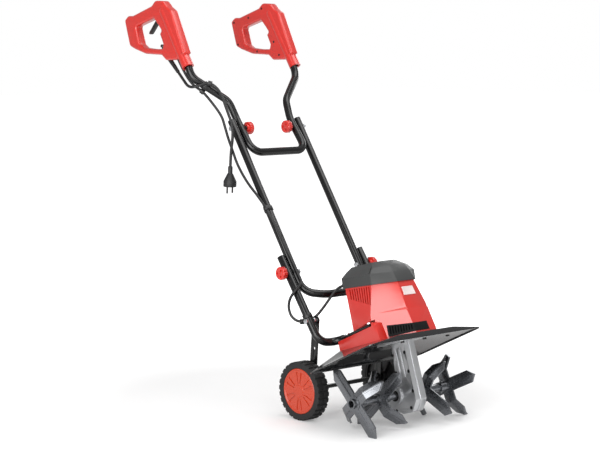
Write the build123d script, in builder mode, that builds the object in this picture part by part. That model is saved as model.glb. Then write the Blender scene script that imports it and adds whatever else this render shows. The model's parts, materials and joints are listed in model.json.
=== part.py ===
from build123d import *
import os
from math import atan, atan2, cos, degrees, pi, radians, sin, sqrt, tan

# An electric garden tiller, standing on its tines and its two transport wheels.
# Millimetres. +X is across the machine, -Y is forward and +Z is up. The origin is
# on the ground under the middle of the machine.

# ---- driving sizes -------------------------------------------------------------
TINE_Y = -413.6            # tine shaft, along Y
TINE_Z = 80.0              # tine shaft, above the ground
LEAN = 18.0                # backward lean of the motor unit, degrees

SHAFT_R = 10.0             # tine shaft
SHAFT_HALF = 186.0
HUB_R = 13.5               # tine hubs
INNER_ROTOR_X = 85.0
OUTER_ROTOR_X = 175.0
ARM_WIDTH = 36.0
ARM_THICK = 5.0
FLAT_REACH = 112.1         # straight arms, from the shaft's middle to the point
BENT_REACH = 87.0          # bent arms
BEND_START = 44.0
BENT_SIDE = 39.0           # how far a bent arm's end stands to the side

MODULE = 2.0               # worm drive
WHEEL_TEETH = 36
WORM_PITCH_R = 9.0
TOOTH_SHARE = 0.4          # tooth and thread thickness, as a share of the pitch
CASE_HALF = 20.0           # half the width of the cast leg
CASE_WALL = 5.0
LEG_DEPTH = 46.0
FLANGE_SIDE = 104.0

DECK_FOOT_W = 144.5        # underside of the deck's platform, up the motor unit
DECK_WALL = 2.5
DECK_WIDTH = 420.0
DECK_REAR = (142.0, 143.0)     # rear rim: behind the tine shaft, height
DECK_FRONT = (-94.0, 253.0)    # front rim
PLATFORM_HALF = 112.0
DECK_LIP = 3.0

HOOD_WALL = 3.0
BASE_FLOOR = 4.0
HOOD_SECTIONS = (          # height up the unit and slope, then front corner, side crease, rear corner
    (151.0, 0.0, (38.0, -141.0), (95.0, -38.0), (74.0, 55.0)),
    (217.0, 0.0, (39.0, -125.0), (92.0, -42.0), (73.0, 53.0)),
    (303.5, 6.4, (30.0, -106.0), (80.0, -59.0), (72.0, 52.0)),
)
BASE_HALF = 105.0

TUBE_R = 11.0              # handlebar tubes
TUBE_WALL = 1.5
BAR_APART = 2.0           # air between two tubes side by side at a fold
LOWER_BAR_X = 148.0
MID_BAR_X = LOWER_BAR_X - 2 * TUBE_R - BAR_APART
UPPER_BAR_X = MID_BAR_X - 2 * TUBE_R - BAR_APART
LOWER_PIVOT = (290.0, 393.0)
UPPER_PIVOT = (541.0, 775.0)
PIVOT_BOLT_R = 4.0
RUNNING = 0.06             # radial play of anything that turns on a pin
BODY_GAP = 0.3             # air between pieces that move past each other

WHEEL_BACK = 217.0         # wheel axle, behind the tine shaft
WHEEL_R = 80.0
WHEEL_WIDTH = 38.0
WHEEL_OUT = 175.0          # outer face of a tyre
AXLE_R = 6.0
STRUT_X = 125.0
STRUT_THICK = 4.0
STRUT_WIDTH = 25.0
STRUT_TOP = (203.0, 270.0)
STRUT_HOLE_R = 4.0
SPARE_HOLE = (208.0, 193.0)    # second bolt hole of a strut

GRIP_X = 203.0
GRIP_THICK = 34.0
GRIP_WALL = 3.0

CABLE_R = 3.75             # motor cable
LEAD_R = 4.0               # mains lead

# ---- working planes ------------------------------------------------------------
LEAN_SIN, LEAN_COS = sin(radians(LEAN)), cos(radians(LEAN))
UNIT = Plane(origin=(0, TINE_Y, TINE_Z), x_dir=(1, 0, 0), z_dir=(0, LEAN_SIN, LEAN_COS))
UNIT_SIDE = Plane(origin=UNIT.origin, x_dir=UNIT.y_dir, z_dir=(1, 0, 0))
SIDE = Plane(origin=(0, TINE_Y, 0), x_dir=(0, 1, 0), z_dir=(1, 0, 0))


def spot(x, back, up):
    """A point given across, behind the tine shaft and above the ground."""
    return Vector(x, TINE_Y + back, up)


def unit_spot(x, back, up):
    """A point given in the leaning motor unit's own directions."""
    return UNIT.from_local_coords(Vector(x, back, up))


def finish(part, name):
    """Label a finished piece and write it."""
    part.label = name
    export_step(part, f"parts/{name}.step")


def mirrored_points(points):
    """The points (x, y) and their mirror images, as one closed outline about x = 0."""
    return [*points, *[(-x, y) for x, y in reversed(points)]]


def bar_along_x(radius, start, end, plane_point, bore=0.0):
    """A round bar or tube along X through a (back, up) point."""
    with BuildSketch(SIDE.offset(start)) as section:
        with Locations(plane_point):
            Circle(radius)
            if bore:
                Circle(bore, mode=Mode.SUBTRACT)
    extrude(section.sketch, amount=end - start)


def cut_along_x(radius, start, end, plane_point):
    """A round hole along X through a (back, up) point."""
    with BuildSketch(SIDE.offset(start)) as section:
        with Locations(plane_point):
            Circle(radius)
    extrude(section.sketch, amount=end - start, mode=Mode.SUBTRACT)


def hexagon_along_x(across_flats, start, end, plane_point):
    """A bolt head or nut along X."""
    with BuildSketch(SIDE.offset(start)) as section:
        with Locations(plane_point):
            RegularPolygon(across_flats / 2, 6, major_radius=False)
    extrude(section.sketch, amount=end - start)


def round_sweep(points, radii, outer, bore=0.0):
    """Sweep a round section along straight runs joined by arcs."""
    with BuildLine() as path:
        FilletPolyline(*points, radius=radii)
    with BuildSketch(Plane(origin=path.line @ 0, z_dir=path.line % 0)) as section:
        Circle(outer)
        if bore:
            Circle(bore, mode=Mode.SUBTRACT)
    sweep(section.sketch, path=path.line)


os.makedirs("parts", exist_ok=True)

# ================================================================================
# Worm drive
# ================================================================================
WHEEL_PITCH_R = MODULE * WHEEL_TEETH / 2
CENTRE_DISTANCE = WHEEL_PITCH_R + WORM_PITCH_R
WORM_V = -CENTRE_DISTANCE              # worm shaft, in front of the tine shaft
THREAD_PITCH = pi * MODULE
LEAD_ANGLE = degrees(atan(MODULE / (2 * WORM_PITCH_R)))
FLANK = tan(radians(20.0))
GEAR_WIDTH = 14.0
WORM_ROOT_R = WORM_PITCH_R - 1.2 * MODULE
WORM_TIP_R = WORM_PITCH_R + MODULE
WHEEL_ROOT_R = WHEEL_PITCH_R - 1.25 * MODULE
WHEEL_TIP_R = WHEEL_PITCH_R + MODULE
WORM_AXIS = Plane(origin=unit_spot(0, WORM_V, 0), x_dir=(1, 0, 0), z_dir=UNIT.z_dir)


def half_thickness(radius_past_pitch):
    """Half a tooth's thickness at a height above (+) or below (-) the pitch line."""
    return TOOTH_SHARE * THREAD_PITCH / 2 - radius_past_pitch * FLANK


# ---- worm wheel ----
twist = degrees(atan(GEAR_WIDTH / 2 * tan(radians(LEAD_ANGLE)) / WHEEL_PITCH_R))
with BuildPart() as gear_tooth:
    for side in (-1, 1):
        face = Plane(origin=UNIT.origin + Vector(side * GEAR_WIDTH / 2, 0, 0),
                     x_dir=-UNIT.y_dir, z_dir=(-1, 0, 0))
        with BuildSketch(face.rotated((0, 0, -side * twist))):
            root = half_thickness(-1.35 * MODULE)
            tip = half_thickness(MODULE)
            Polygon((WHEEL_ROOT_R - 0.2, -root), (WHEEL_TIP_R, -tip),
                    (WHEEL_TIP_R, tip), (WHEEL_ROOT_R - 0.2, root), align=None)
    loft(ruled=True)

WHEEL_HUB_HALF = 13.8
with BuildPart() as worm_wheel:
    bar_along_x(WHEEL_ROOT_R, -GEAR_WIDTH / 2, GEAR_WIDTH / 2, (0, TINE_Z))
    bar_along_x(16, -WHEEL_HUB_HALF, WHEEL_HUB_HALF, (0, TINE_Z))
    for tooth in range(WHEEL_TEETH):
        add(gear_tooth.part.rotate(Axis(UNIT.origin, (1, 0, 0)), tooth * 360 / WHEEL_TEETH))
    cut_along_x(SHAFT_R, -WHEEL_HUB_HALF, WHEEL_HUB_HALF, (0, TINE_Z))
finish(worm_wheel.part, "worm_wheel")

# ---- worm shaft, which is the motor's armature too ----
WORM_START = THREAD_PITCH * (0.25 - 3)      # puts a gap of the thread opposite a wheel tooth
WORM_LENGTH = 5.5 * THREAD_PITCH
LOWER_BEARING = (8.0, 22.0, 7.0, -30.0)     # bore, outside, width, height up the unit
UPPER_BEARING = (12.0, 32.0, 10.0, 118.0)
TOP_BEARING = (8.0, 22.0, 7.0, 277.0)
SHAFT_BEARING = (2 * SHAFT_R, 37.0, 9.0)
ARMATURE_R = 6.0
FAN_W = 152.0
STACK_W = (172.0, 238.0)
COMMUTATOR_W = (248.0, 270.0)
STACK_R = 24.0
STATOR_R = 41.0

with BuildPart() as thread_coil:
    with BuildLine() as thread_path:
        Helix(pitch=THREAD_PITCH, height=WORM_LENGTH, radius=WORM_PITCH_R)
    foot = half_thickness(-1.25 * MODULE)
    crest = half_thickness(MODULE)
    with BuildSketch(Plane(origin=(WORM_PITCH_R, 0, 0), x_dir=(1, 0, 0), z_dir=(0, 1, 0))) as thread_form:
        Polygon((-1.25 * MODULE, -foot), (MODULE, -crest), (MODULE, crest),
                (-1.25 * MODULE, foot), align=None)
    sweep(thread_form.sketch, path=thread_path.line, is_frenet=True)

with BuildPart() as armature:
    steps = (                                # radius, from, to
        (4.0, LOWER_BEARING[3], -23.0), (WORM_ROOT_R, -23.0, 23.0), (ARMATURE_R, 23.0, 244.0),
        (STACK_R, *STACK_W), (14.0, *COMMUTATOR_W), (4.0, 244.0, 284.0),
    )
    for radius, low, high in steps:
        with BuildSketch(WORM_AXIS.offset(low)):
            Circle(radius)
        extrude(amount=high - low)
    with Locations(WORM_AXIS.offset(WORM_START).location):
        add(thread_coil.part)
    with BuildSketch(WORM_AXIS.offset(STACK_W[0])):
        with PolarLocations(STACK_R, 12):
            Rectangle(5, 2.4)
    extrude(amount=STACK_W[1] - STACK_W[0], mode=Mode.SUBTRACT)
finish(armature.part, "armature")

FAN_HUB_R, FAN_TIP_R, FAN_TALL = 10.0, 38.0, 11.0
with BuildPart() as motor_fan:
    with BuildSketch(WORM_AXIS.offset(FAN_W)):
        Circle(FAN_TIP_R)
        Circle(ARMATURE_R, mode=Mode.SUBTRACT)
    extrude(amount=1.6)
    with BuildSketch(WORM_AXIS.offset(FAN_W)):
        Circle(FAN_HUB_R)
        Circle(ARMATURE_R, mode=Mode.SUBTRACT)
        with PolarLocations((FAN_HUB_R + FAN_TIP_R) / 2 - 0.4, 12):
            Rectangle(FAN_TIP_R - FAN_HUB_R, 1.6)
    extrude(amount=FAN_TALL)
finish(motor_fan.part, "motor_fan")


def bearing_on(plane, bore, outside, width):
    """Two rings and the balls between them, as one closed ring with grooved faces."""
    with BuildSketch(plane) as ring:
        Circle(outside / 2)
        Circle(bore / 2 + RUNNING, mode=Mode.SUBTRACT)
    extrude(ring.sketch, amount=width)
    middle = (bore + outside) / 4
    for face, way in ((plane, 1), (plane.offset(width), -1)):
        with BuildSketch(face) as groove:
            Circle(middle + 1.6)
            Circle(middle - 1.6, mode=Mode.SUBTRACT)
        extrude(groove.sketch, amount=way * 0.6, mode=Mode.SUBTRACT)


BEARING_IN = 14.0                            # inner face of a tine shaft bearing
BEARING_OUT = BEARING_IN + SHAFT_BEARING[2]
SEAL_WIDTH = 4.5
BOSS_END = BEARING_OUT + SEAL_WIDTH
SHAFT_PLANE = Plane(origin=UNIT.origin, x_dir=UNIT.y_dir, z_dir=(1, 0, 0))
with BuildPart() as bearings:
    for bore, outside, width, low in (LOWER_BEARING, UPPER_BEARING, TOP_BEARING):
        bearing_on(WORM_AXIS.offset(low), bore, outside, width)
    for start in (BEARING_IN, -BEARING_OUT):
        bearing_on(SHAFT_PLANE.offset(start), *SHAFT_BEARING)
finish(bearings.part, "bearings")

SEAL_R = 15.0
with BuildPart() as shaft_seals:
    for start in (BEARING_OUT, -BOSS_END):
        bar_along_x(SEAL_R, start, start + SEAL_WIDTH, (0, TINE_Z), SHAFT_R + BODY_GAP / 3)
finish(shaft_seals.part, "shaft_seals")

# ================================================================================
# Gear case: two cast halves that meet on the machine's middle
# ================================================================================
LOBE_R = WHEEL_TIP_R + 3 + CASE_WALL
LEG_FRONT = WORM_V - LEG_DEPTH / 2
LEG_REAR = WORM_V + LEG_DEPTH / 2
FLANGE_W = (134.0, DECK_FOOT_W)
BOSS_R = SHAFT_BEARING[1] / 2 + CASE_WALL
BOLT_SPOTS = ((-63.0, 106.0), (-63.0, 55.0), (-63.0, 2.0), (-44.0, -40.0), (12.0, -40.0),
              (40.0, 10.0), (-16.0, 58.0), (-16.0, 106.0))
CASE_BOLT_R = 2.5


def case_outline(grow):
    """The leg and the lobe round the worm wheel, seen from the side."""
    with BuildSketch(UNIT_SIDE) as leg:
        with BuildLine():
            low = -52.0
            FilletPolyline((LEG_FRONT - grow, FLANGE_W[1]), (LEG_FRONT - grow, low + 28),
                           (LEG_FRONT - grow + 22, low), (LEG_REAR + 20, low),
                           (LEG_REAR + grow, FLANGE_W[1]), radius=[12, 12, 10], close=False)
            Line((LEG_REAR + grow, FLANGE_W[1]), (LEG_FRONT - grow, FLANGE_W[1]))
        make_face()
        Circle(LOBE_R + grow)
    return leg.sketch


def gear_case_half(way):
    """One half of the cast case; way is -1 for the left half and 1 for the right."""
    extrude(case_outline(0), amount=way * CASE_HALF)
    seam_edge = 3.0
    extrude(case_outline(3), amount=way * seam_edge)
    with BuildSketch(WORM_AXIS.offset(FLANGE_W[0])) as flange:
        RectangleRounded(FLANGE_SIDE, FLANGE_SIDE, 10)
    extrude(flange.sketch, amount=FLANGE_W[1] - FLANGE_W[0])
    with BuildSketch(UNIT_SIDE) as other_side:
        Rectangle(600, 600)
    extrude(other_side.sketch, amount=-way * FLANGE_SIDE, mode=Mode.SUBTRACT)
    with BuildSketch(UNIT_SIDE) as boss:
        Circle(BOSS_R)
    extrude(boss.sketch, amount=way * BOSS_END)
    # room for the worm wheel, its bearing and seal
    for radius, start, end in ((WHEEL_TIP_R + 3, 0, GEAR_WIDTH / 2 + 2), (18, 0, BEARING_IN),
                               (SHAFT_BEARING[1] / 2, BEARING_IN, BEARING_OUT),
                               (SEAL_R, BEARING_OUT, BOSS_END)):
        with BuildSketch(UNIT_SIDE) as room:
            Circle(radius)
        extrude(room.sketch, amount=way * end, mode=Mode.SUBTRACT)
    # room for the worm shaft and its bearings
    bores = ((WORM_TIP_R + 2, -23.0, UPPER_BEARING[3]), (LOWER_BEARING[1] / 2, LOWER_BEARING[3], -23.0),
             (UPPER_BEARING[1] / 2, UPPER_BEARING[3], UPPER_BEARING[3] + UPPER_BEARING[2]),
             (ARMATURE_R + 4, UPPER_BEARING[3], FLANGE_W[1]))
    for radius, low, high in bores:
        with BuildSketch(WORM_AXIS.offset(low)) as bore:
            Circle(radius)
        extrude(bore.sketch, amount=high - low, mode=Mode.SUBTRACT)
    with BuildSketch(UNIT_SIDE) as bolt_holes:
        with Locations(*BOLT_SPOTS):
            Circle(CASE_BOLT_R)
    extrude(bolt_holes.sketch, amount=way * CASE_HALF, mode=Mode.SUBTRACT)
    with BuildSketch(UNIT_SIDE.offset(way * (CASE_HALF - 5))) as recess:
        with Locations(*BOLT_SPOTS):
            Circle(5.0)
    extrude(recess.sketch, amount=way * 6, mode=Mode.SUBTRACT)
    with BuildSketch(UNIT_SIDE.offset(way * (CASE_HALF - 2))) as grooves:
        with Locations((WORM_V + 12, 80)):
            SlotOverall(78, 5, rotation=90)
        with Locations((WORM_V - 4, 80)):
            SlotOverall(78, 5, rotation=90)
    extrude(grooves.sketch, amount=way * 3, mode=Mode.SUBTRACT)
    with BuildSketch(WORM_AXIS.offset(FLANGE_W[0])) as deck_bolt_holes:
        with GridLocations(FLANGE_SIDE - 20, FLANGE_SIDE - 20, 2, 2):
            Circle(3.0)
    extrude(deck_bolt_holes.sketch, amount=20, mode=Mode.SUBTRACT)


with BuildPart() as gear_case_left:
    gear_case_half(-1)
finish(gear_case_left.part, "gear_case_left")

with BuildPart() as gear_case_right:
    gear_case_half(1)
finish(gear_case_right.part, "gear_case_right")

DECK_BOLT_TOP = DECK_FOOT_W + DECK_WALL + BASE_FLOOR
with BuildPart() as case_bolts:
    for v, w in BOLT_SPOTS:                  # seam bolts, head on the left, nut on the right
        centre = UNIT_SIDE.offset(-(CASE_HALF - 5)).from_local_coords(Vector(v, w, 0))
        across = Plane(origin=centre, x_dir=UNIT.y_dir, z_dir=(1, 0, 0))
        for radius, start, length in ((4.6, -5.0, 5.0), (CASE_BOLT_R, 0.0, 2 * (CASE_HALF - 5)),
                                      (4.6, 2 * (CASE_HALF - 5), 4.0)):
            with BuildSketch(across.offset(start)) as shank:
                Circle(radius)
            extrude(shank.sketch, amount=length)
        with BuildSketch(across.offset(-5)) as socket:
            RegularPolygon(2.2, 6)
        extrude(socket.sketch, amount=2.5, mode=Mode.SUBTRACT)
    for plane, length in ((WORM_AXIS.offset(FLANGE_W[0] - 5), 5.0),
                          (WORM_AXIS.offset(DECK_BOLT_TOP), 4.0)):
        with BuildSketch(plane) as ends:
            with GridLocations(FLANGE_SIDE - 20, FLANGE_SIDE - 20, 2, 2):
                RegularPolygon(5.5, 6)
        extrude(ends.sketch, amount=length)
    with BuildSketch(WORM_AXIS.offset(FLANGE_W[0])) as shanks:
        with GridLocations(FLANGE_SIDE - 20, FLANGE_SIDE - 20, 2, 2):
            Circle(3.0)
    extrude(shanks.sketch, amount=DECK_BOLT_TOP - FLANGE_W[0])
finish(case_bolts.part, "case_bolts")

# ================================================================================
# Tine shaft and its four rotors
# ================================================================================
PIN_R = 3.0
HUB_LENGTH = 62.0
PIN_SPOTS = [way * (x + side * 22) for way in (-1, 1)
             for x, side in ((INNER_ROTOR_X, -1), (OUTER_ROTOR_X, -1))]
PIN_LENGTH = 2 * HUB_R + 8
PIN_TOP = TINE_Z + PIN_LENGTH / 2

with BuildPart() as tine_shaft:
    bar_along_x(SHAFT_R, -SHAFT_HALF, SHAFT_HALF, (0, TINE_Z))
    chamfer(tine_shaft.edges().group_by(Axis.X)[0] + tine_shaft.edges().group_by(Axis.X)[-1], 1.5)
    for x in PIN_SPOTS:
        with BuildSketch(Plane(origin=spot(x, 0, TINE_Z - SHAFT_R - 1))):
            Circle(PIN_R)
        extrude(amount=2 * SHAFT_R + 2, mode=Mode.SUBTRACT)
finish(tine_shaft.part, "tine_shaft")

BEND = atan2(BENT_SIDE, BENT_REACH - BEND_START)


def arm_planes(x, angle):
    """Two planes of a rotor arm: one with its length and the shaft, one seen from the side."""
    out = Vector(0, -cos(radians(angle)), sin(radians(angle)))
    centre = spot(x, 0, TINE_Z)
    edge_on = Plane(origin=centre, x_dir=out, z_dir=out.cross(Vector(1, 0, 0)))
    flat_on = Plane(origin=centre, x_dir=out, z_dir=(1, 0, 0))
    return edge_on, flat_on


def arm_shape(reach, shoulder, nose):
    """An arm's outline from the side, with a slanted point."""
    half = ARM_WIDTH / 2
    return [(0, -half), (shoulder, -half), (reach, -nose), (reach, nose), (shoulder + 6, half), (0, half)]


def straight_arm(x, angle):
    """A flat arm with a raised rib along it."""
    edge_on, flat_on = arm_planes(x, angle)
    with BuildSketch(flat_on.offset(-ARM_THICK / 2)) as blade:
        Polygon(*arm_shape(FLAT_REACH, 90, 1.0), align=None)
    extrude(blade.sketch, amount=ARM_THICK)
    with BuildSketch(flat_on.offset(-ARM_THICK / 2 - 1.6)) as rib:
        with Locations((HUB_R + 43, 0)):
            SlotOverall(84, 7)
    extrude(rib.sketch, amount=ARM_THICK + 3.2)


def bent_arm(x, angle):
    """An arm whose outer part is bent to the side, with its rib round the bend."""
    edge_on, flat_on = arm_planes(x, angle)
    past = 6.0                               # drawn this much too long, then cut to its outline
    with BuildPart() as arm:
        for half_thick, half_wide in ((ARM_THICK / 2, ARM_WIDTH / 2), (ARM_THICK / 2 + 1.6, 3.5)):
            corner = half_thick * tan(BEND / 2)
            end = Vector(BENT_REACH + past, BENT_SIDE + past * tan(BEND), 0)
            across = Vector(-sin(BEND), cos(BEND), 0) * half_thick
            with BuildSketch(edge_on):
                Polygon((0, -half_thick), (BEND_START + corner, -half_thick),
                        (end.X - across.X, end.Y - across.Y), (end.X + across.X, end.Y + across.Y),
                        (BEND_START - corner, half_thick), (0, half_thick), align=None)
            extrude(amount=half_wide, both=True)
        with BuildSketch(flat_on.offset(-2 * ARM_THICK)):
            Rectangle(4 * BENT_REACH, 2 * ARM_WIDTH)
            Polygon(*arm_shape(BENT_REACH, 68, 1.5), align=None, mode=Mode.SUBTRACT)
            Rectangle(2 * BEND_START, ARM_WIDTH, mode=Mode.SUBTRACT)
        extrude(amount=BENT_SIDE + 6 * ARM_THICK, mode=Mode.SUBTRACT)
    return arm.part


# name, place along the shaft, angle of the straight and of the bent arms (0 is forward)
ROTORS = (
    ("outer_tines_left", -OUTER_ROTOR_X, 135, 45), ("inner_tines_left", -INNER_ROTOR_X, 45, 135),
    ("inner_tines_right", INNER_ROTOR_X, 155, 65), ("outer_tines_right", OUTER_ROTOR_X, 25, 115),
)
HUB_INNER, HUB_OUTER, HUB_PIN = 32.0, 13.0, 22.0     # from the rotor's plate along the shaft
for name, x, straight_angle, bent_angle in ROTORS:
    inward = -1 if x > 0 else 1
    bent_arms = [bent_arm(x, bent_angle), bent_arm(x, bent_angle + 180)]
    hub_ends = sorted((x + inward * HUB_INNER, x - inward * HUB_OUTER))
    with BuildPart() as rotor:
        for arm in bent_arms:
            add(arm)
        straight_arm(x, straight_angle)
        straight_arm(x, straight_angle + 180)
        bar_along_x(HUB_R, *hub_ends, (0, TINE_Z))
        bar_along_x(21, x - 4.5, x + 4.5, (0, TINE_Z))
        cut_along_x(SHAFT_R, *hub_ends, (0, TINE_Z))
        with BuildSketch(Plane(origin=spot(x + inward * HUB_PIN, 0, TINE_Z - HUB_R - 1))):
            Circle(PIN_R)
        extrude(amount=2 * HUB_R + 2, mode=Mode.SUBTRACT)
    finish(rotor.part, name)

with BuildPart() as tine_pins:
    for x in PIN_SPOTS:
        with BuildSketch(Plane(origin=spot(x, 0, PIN_TOP))):
            Circle(PIN_R + 2)
        extrude(amount=-3)
        with BuildSketch(Plane(origin=spot(x, 0, PIN_TOP))):
            Circle(PIN_R)
        extrude(amount=-PIN_LENGTH)
finish(tine_pins.part, "tine_pins")

# ================================================================================
# Motor: stator, its steel shell, then the plastic base, hood and cover
# ================================================================================
FRAME_W = (DECK_FOOT_W, 285.0)
FRAME_R = STATOR_R + 3.0
FRAME_FLANGE_R = 52.0
with BuildPart() as motor_stator:
    with BuildSketch(WORM_AXIS.offset(STACK_W[0])):
        Circle(STATOR_R)
        Circle(STACK_R + 0.6, mode=Mode.SUBTRACT)
        for half_turn in (0, 180):
            with PolarLocations(STACK_R + 5, 2, start_angle=half_turn + 90):
                Rectangle(11, 14, mode=Mode.SUBTRACT)
    extrude(amount=STACK_W[1] - STACK_W[0])
finish(motor_stator.part, "motor_stator")

with BuildPart() as motor_frame:
    with BuildSketch(WORM_AXIS.offset(FRAME_W[0])):
        Circle(FRAME_R)
        Circle(STATOR_R, mode=Mode.SUBTRACT)
    extrude(amount=FRAME_W[1] - FRAME_W[0])
    with BuildSketch(WORM_AXIS.offset(FRAME_W[0])):
        Circle(FRAME_FLANGE_R)
        Circle(STATOR_R, mode=Mode.SUBTRACT)
    extrude(amount=4)
    with BuildSketch(WORM_AXIS.offset(FRAME_W[1] - 8)):
        Rectangle(2 * FRAME_R - 2, 26)
        Circle(TOP_BEARING[1] / 2, mode=Mode.SUBTRACT)
    extrude(amount=8)
    for low in (156.0, 246.0):                # air slots round the shell
        with BuildSketch(Plane(origin=unit_spot(0, WORM_V, low + 9), x_dir=(1, 0, 0), z_dir=UNIT.y_dir)):
            SlotOverall(26, 8)
        extrude(amount=2 * FRAME_R, both=True, mode=Mode.SUBTRACT)
finish(motor_frame.part, "motor_frame")


def housing_outline(section, inset):
    """One section of the hood or its cover, drawn in by a wall's thickness."""
    height, slope, front, crease, rear = section
    with BuildSketch(UNIT.offset(height).rotated((slope, 0, 0))) as outline:
        Polygon(*mirrored_points([front, crease, rear]), align=None)
        if inset:
            offset(amount=-inset, kind=Kind.INTERSECTION)
    return outline.sketch


def hood_block(inset, foot_drop=0.0):
    """The hood as a solid, drawn in by a wall; its lowest section can be carried down."""
    with BuildPart() as block:
        for lower, upper in zip(HOOD_SECTIONS, HOOD_SECTIONS[1:]):
            loft([housing_outline(lower, inset), housing_outline(upper, inset)], ruled=True)
        if foot_drop:
            extrude(housing_outline(HOOD_SECTIONS[0], inset), amount=-foot_drop)
    return block.part


hood_solid = hood_block(0)
hood_room = hood_block(HOOD_WALL)
HOOD_FOOT = HOOD_SECTIONS[0][0]
HOOD_TOP = HOOD_SECTIONS[-1][0]
LOUVRE_SPACING, LOUVRE_WIDTH = 10.0, 4.0
GRILLE_THICK, GRILLE_REAR = 1.5, -75.0


def intake_slots():
    """Upright air slots along both front facets of the hood."""
    for step in range(9):
        with Locations((-133 + step * 6.4, HOOD_FOOT + 12.5 + step * 0.5)):
            Rectangle(3.2, 13 + step)


LEDGE_REAR = (88.0, 172.5)                    # top of the ledge that carries the bar ends
LEDGE_FRONT = (-50.0, 188.5)
BAR_FLAT = 9.0                                # thickness of a flattened bar end
BAR_FLAT_WIDE = 28.0
BAR_END_X = BASE_HALF - 1 - BAR_FLAT_WIDE / 2
BASE_BOLT_BACK = (20.0, 112.0)                # bolts of a bar end, back from the ledge's front
BASE_BOLT_HEAD, BASE_BOLT_DEEP = 5.0, 12.0
ledge_way = Vector(0, LEDGE_REAR[0] - LEDGE_FRONT[0], LEDGE_REAR[1] - LEDGE_FRONT[1]).normalized()
LEDGE_PLANE = Plane(origin=unit_spot(0, *LEDGE_FRONT), x_dir=(1, 0, 0),
                    z_dir=UNIT.y_dir * -ledge_way.Z + UNIT.z_dir * ledge_way.Y)


def hood_notch(grow):
    """Room over both bar ends, and over the ledge under them."""
    room = BAR_FLAT + BASE_BOLT_HEAD + 1.5 + grow
    with BuildPart() as notch:
        with BuildSketch(UNIT_SIDE):
            Polygon((LEDGE_FRONT[0] - grow, HOOD_FOOT - 5), (LEDGE_FRONT[0] - grow, LEDGE_FRONT[1] + room),
                    (LEDGE_REAR[0] + 20, LEDGE_REAR[1] + room - 2.5), (LEDGE_REAR[0] + 20, HOOD_FOOT - 5),
                    align=None)
        extrude(amount=BASE_HALF + 20, both=True)
        with BuildSketch(UNIT_SIDE):
            Rectangle(500, 800)
        extrude(amount=BAR_END_X - BAR_FLAT_WIDE / 2 - 1 - grow, both=True, mode=Mode.SUBTRACT)
    return notch.part


with BuildPart() as hood_shape:
    add(hood_solid)
    add(hood_notch(0), mode=Mode.SUBTRACT)
hood_outside = hood_shape.part
with BuildPart() as hood_hollow:
    add(hood_room)
    add(hood_notch(HOOD_WALL), mode=Mode.SUBTRACT)
hood_inside = hood_hollow.part

with BuildPart() as motor_hood:
    add(hood_outside)
    add(hood_inside, mode=Mode.SUBTRACT)
    for step in range(9):                     # upright louvres in both rear side walls
        v = -46 + step * LOUVRE_SPACING
        low, high = 243 + step * 3.8, HOOD_TOP - 5 + v * tan(radians(HOOD_SECTIONS[-1][1]))
        with BuildSketch(UNIT_SIDE):
            with Locations((v, (low + high) / 2)):
                SlotOverall(high - low, LOUVRE_WIDTH, rotation=90)
        extrude(amount=120, both=True, mode=Mode.SUBTRACT)
    with BuildSketch(UNIT_SIDE):
        intake_slots()
    extrude(amount=120, both=True, mode=Mode.SUBTRACT)
finish(motor_hood.part, "motor_hood")

with BuildPart() as intake_grille:
    add(hood_block(-GRILLE_THICK))
    add(hood_solid, mode=Mode.SUBTRACT)
    with BuildSketch(UNIT_SIDE):
        Polygon((-170, HOOD_FOOT - 1), (GRILLE_REAR, HOOD_FOOT - 1), (GRILLE_REAR, HOOD_FOOT + 31),
                (-141, HOOD_FOOT + 22), (-170, HOOD_FOOT + 22), align=None)
    extrude(amount=150, both=True, mode=Mode.INTERSECT)
    with BuildSketch(UNIT_SIDE):
        intake_slots()
    extrude(amount=120, both=True, mode=Mode.SUBTRACT)
    with BuildSketch(UNIT.offset(HOOD_FOOT - 20)):    # the front facet's far half stays plain
        Polygon((12, -200), (44, -200), (44, -100), (12, -100), align=None)
    extrude(amount=90, mode=Mode.SUBTRACT)
finish(intake_grille.part, "intake_grille")

with BuildPart() as motor_base:
    with BuildSketch(UNIT_SIDE):
        Polygon((LEDGE_REAR[0], DECK_FOOT_W + DECK_WALL), LEDGE_REAR, LEDGE_FRONT, (-50, 198),
                (-64, 193), (-72, DECK_FOOT_W + DECK_WALL), align=None)
    extrude(amount=BASE_HALF, both=True)
    add(hood_outside, mode=Mode.SUBTRACT)
    floor_plane = UNIT.offset(DECK_FOOT_W + DECK_WALL)
    with BuildSketch(floor_plane) as floor_outline:
        Polygon(*mirrored_points([(p[0], p[1]) for p in HOOD_SECTIONS[0][2:]]), align=None)
    extrude(floor_outline.sketch, amount=BASE_FLOOR)
    with BuildSketch(floor_plane) as motor_hole:
        with Locations((0, WORM_V)):
            Circle(FRAME_FLANGE_R + 2)
    extrude(motor_hole.sketch, amount=BASE_FLOOR + 1, mode=Mode.SUBTRACT)
    with BuildSketch(floor_plane) as bolt_holes:
        with Locations((0, WORM_V)):
            with GridLocations(FLANGE_SIDE - 20, FLANGE_SIDE - 20, 2, 2):
                Circle(3.0)
    extrude(bolt_holes.sketch, amount=BASE_FLOOR, mode=Mode.SUBTRACT)
    for way in (-1, 1):                       # channels that the bars come in through
        with BuildSketch(UNIT_SIDE.offset(way * (BAR_END_X - 13))):
            Polygon((100, 155), (84, 159), (70, 162), (66, 172), (66, 230), (100, 230), align=None)
        extrude(amount=way * 26, mode=Mode.SUBTRACT)
    with BuildSketch(LEDGE_PLANE) as bar_bolt_holes:
        with Locations(*[(way * BAR_END_X, back) for way in (-1, 1) for back in BASE_BOLT_BACK]):
            Circle(3.0)
    extrude(bar_bolt_holes.sketch, amount=-BASE_BOLT_DEEP, mode=Mode.SUBTRACT)
finish(motor_base.part, "motor_base")

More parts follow.
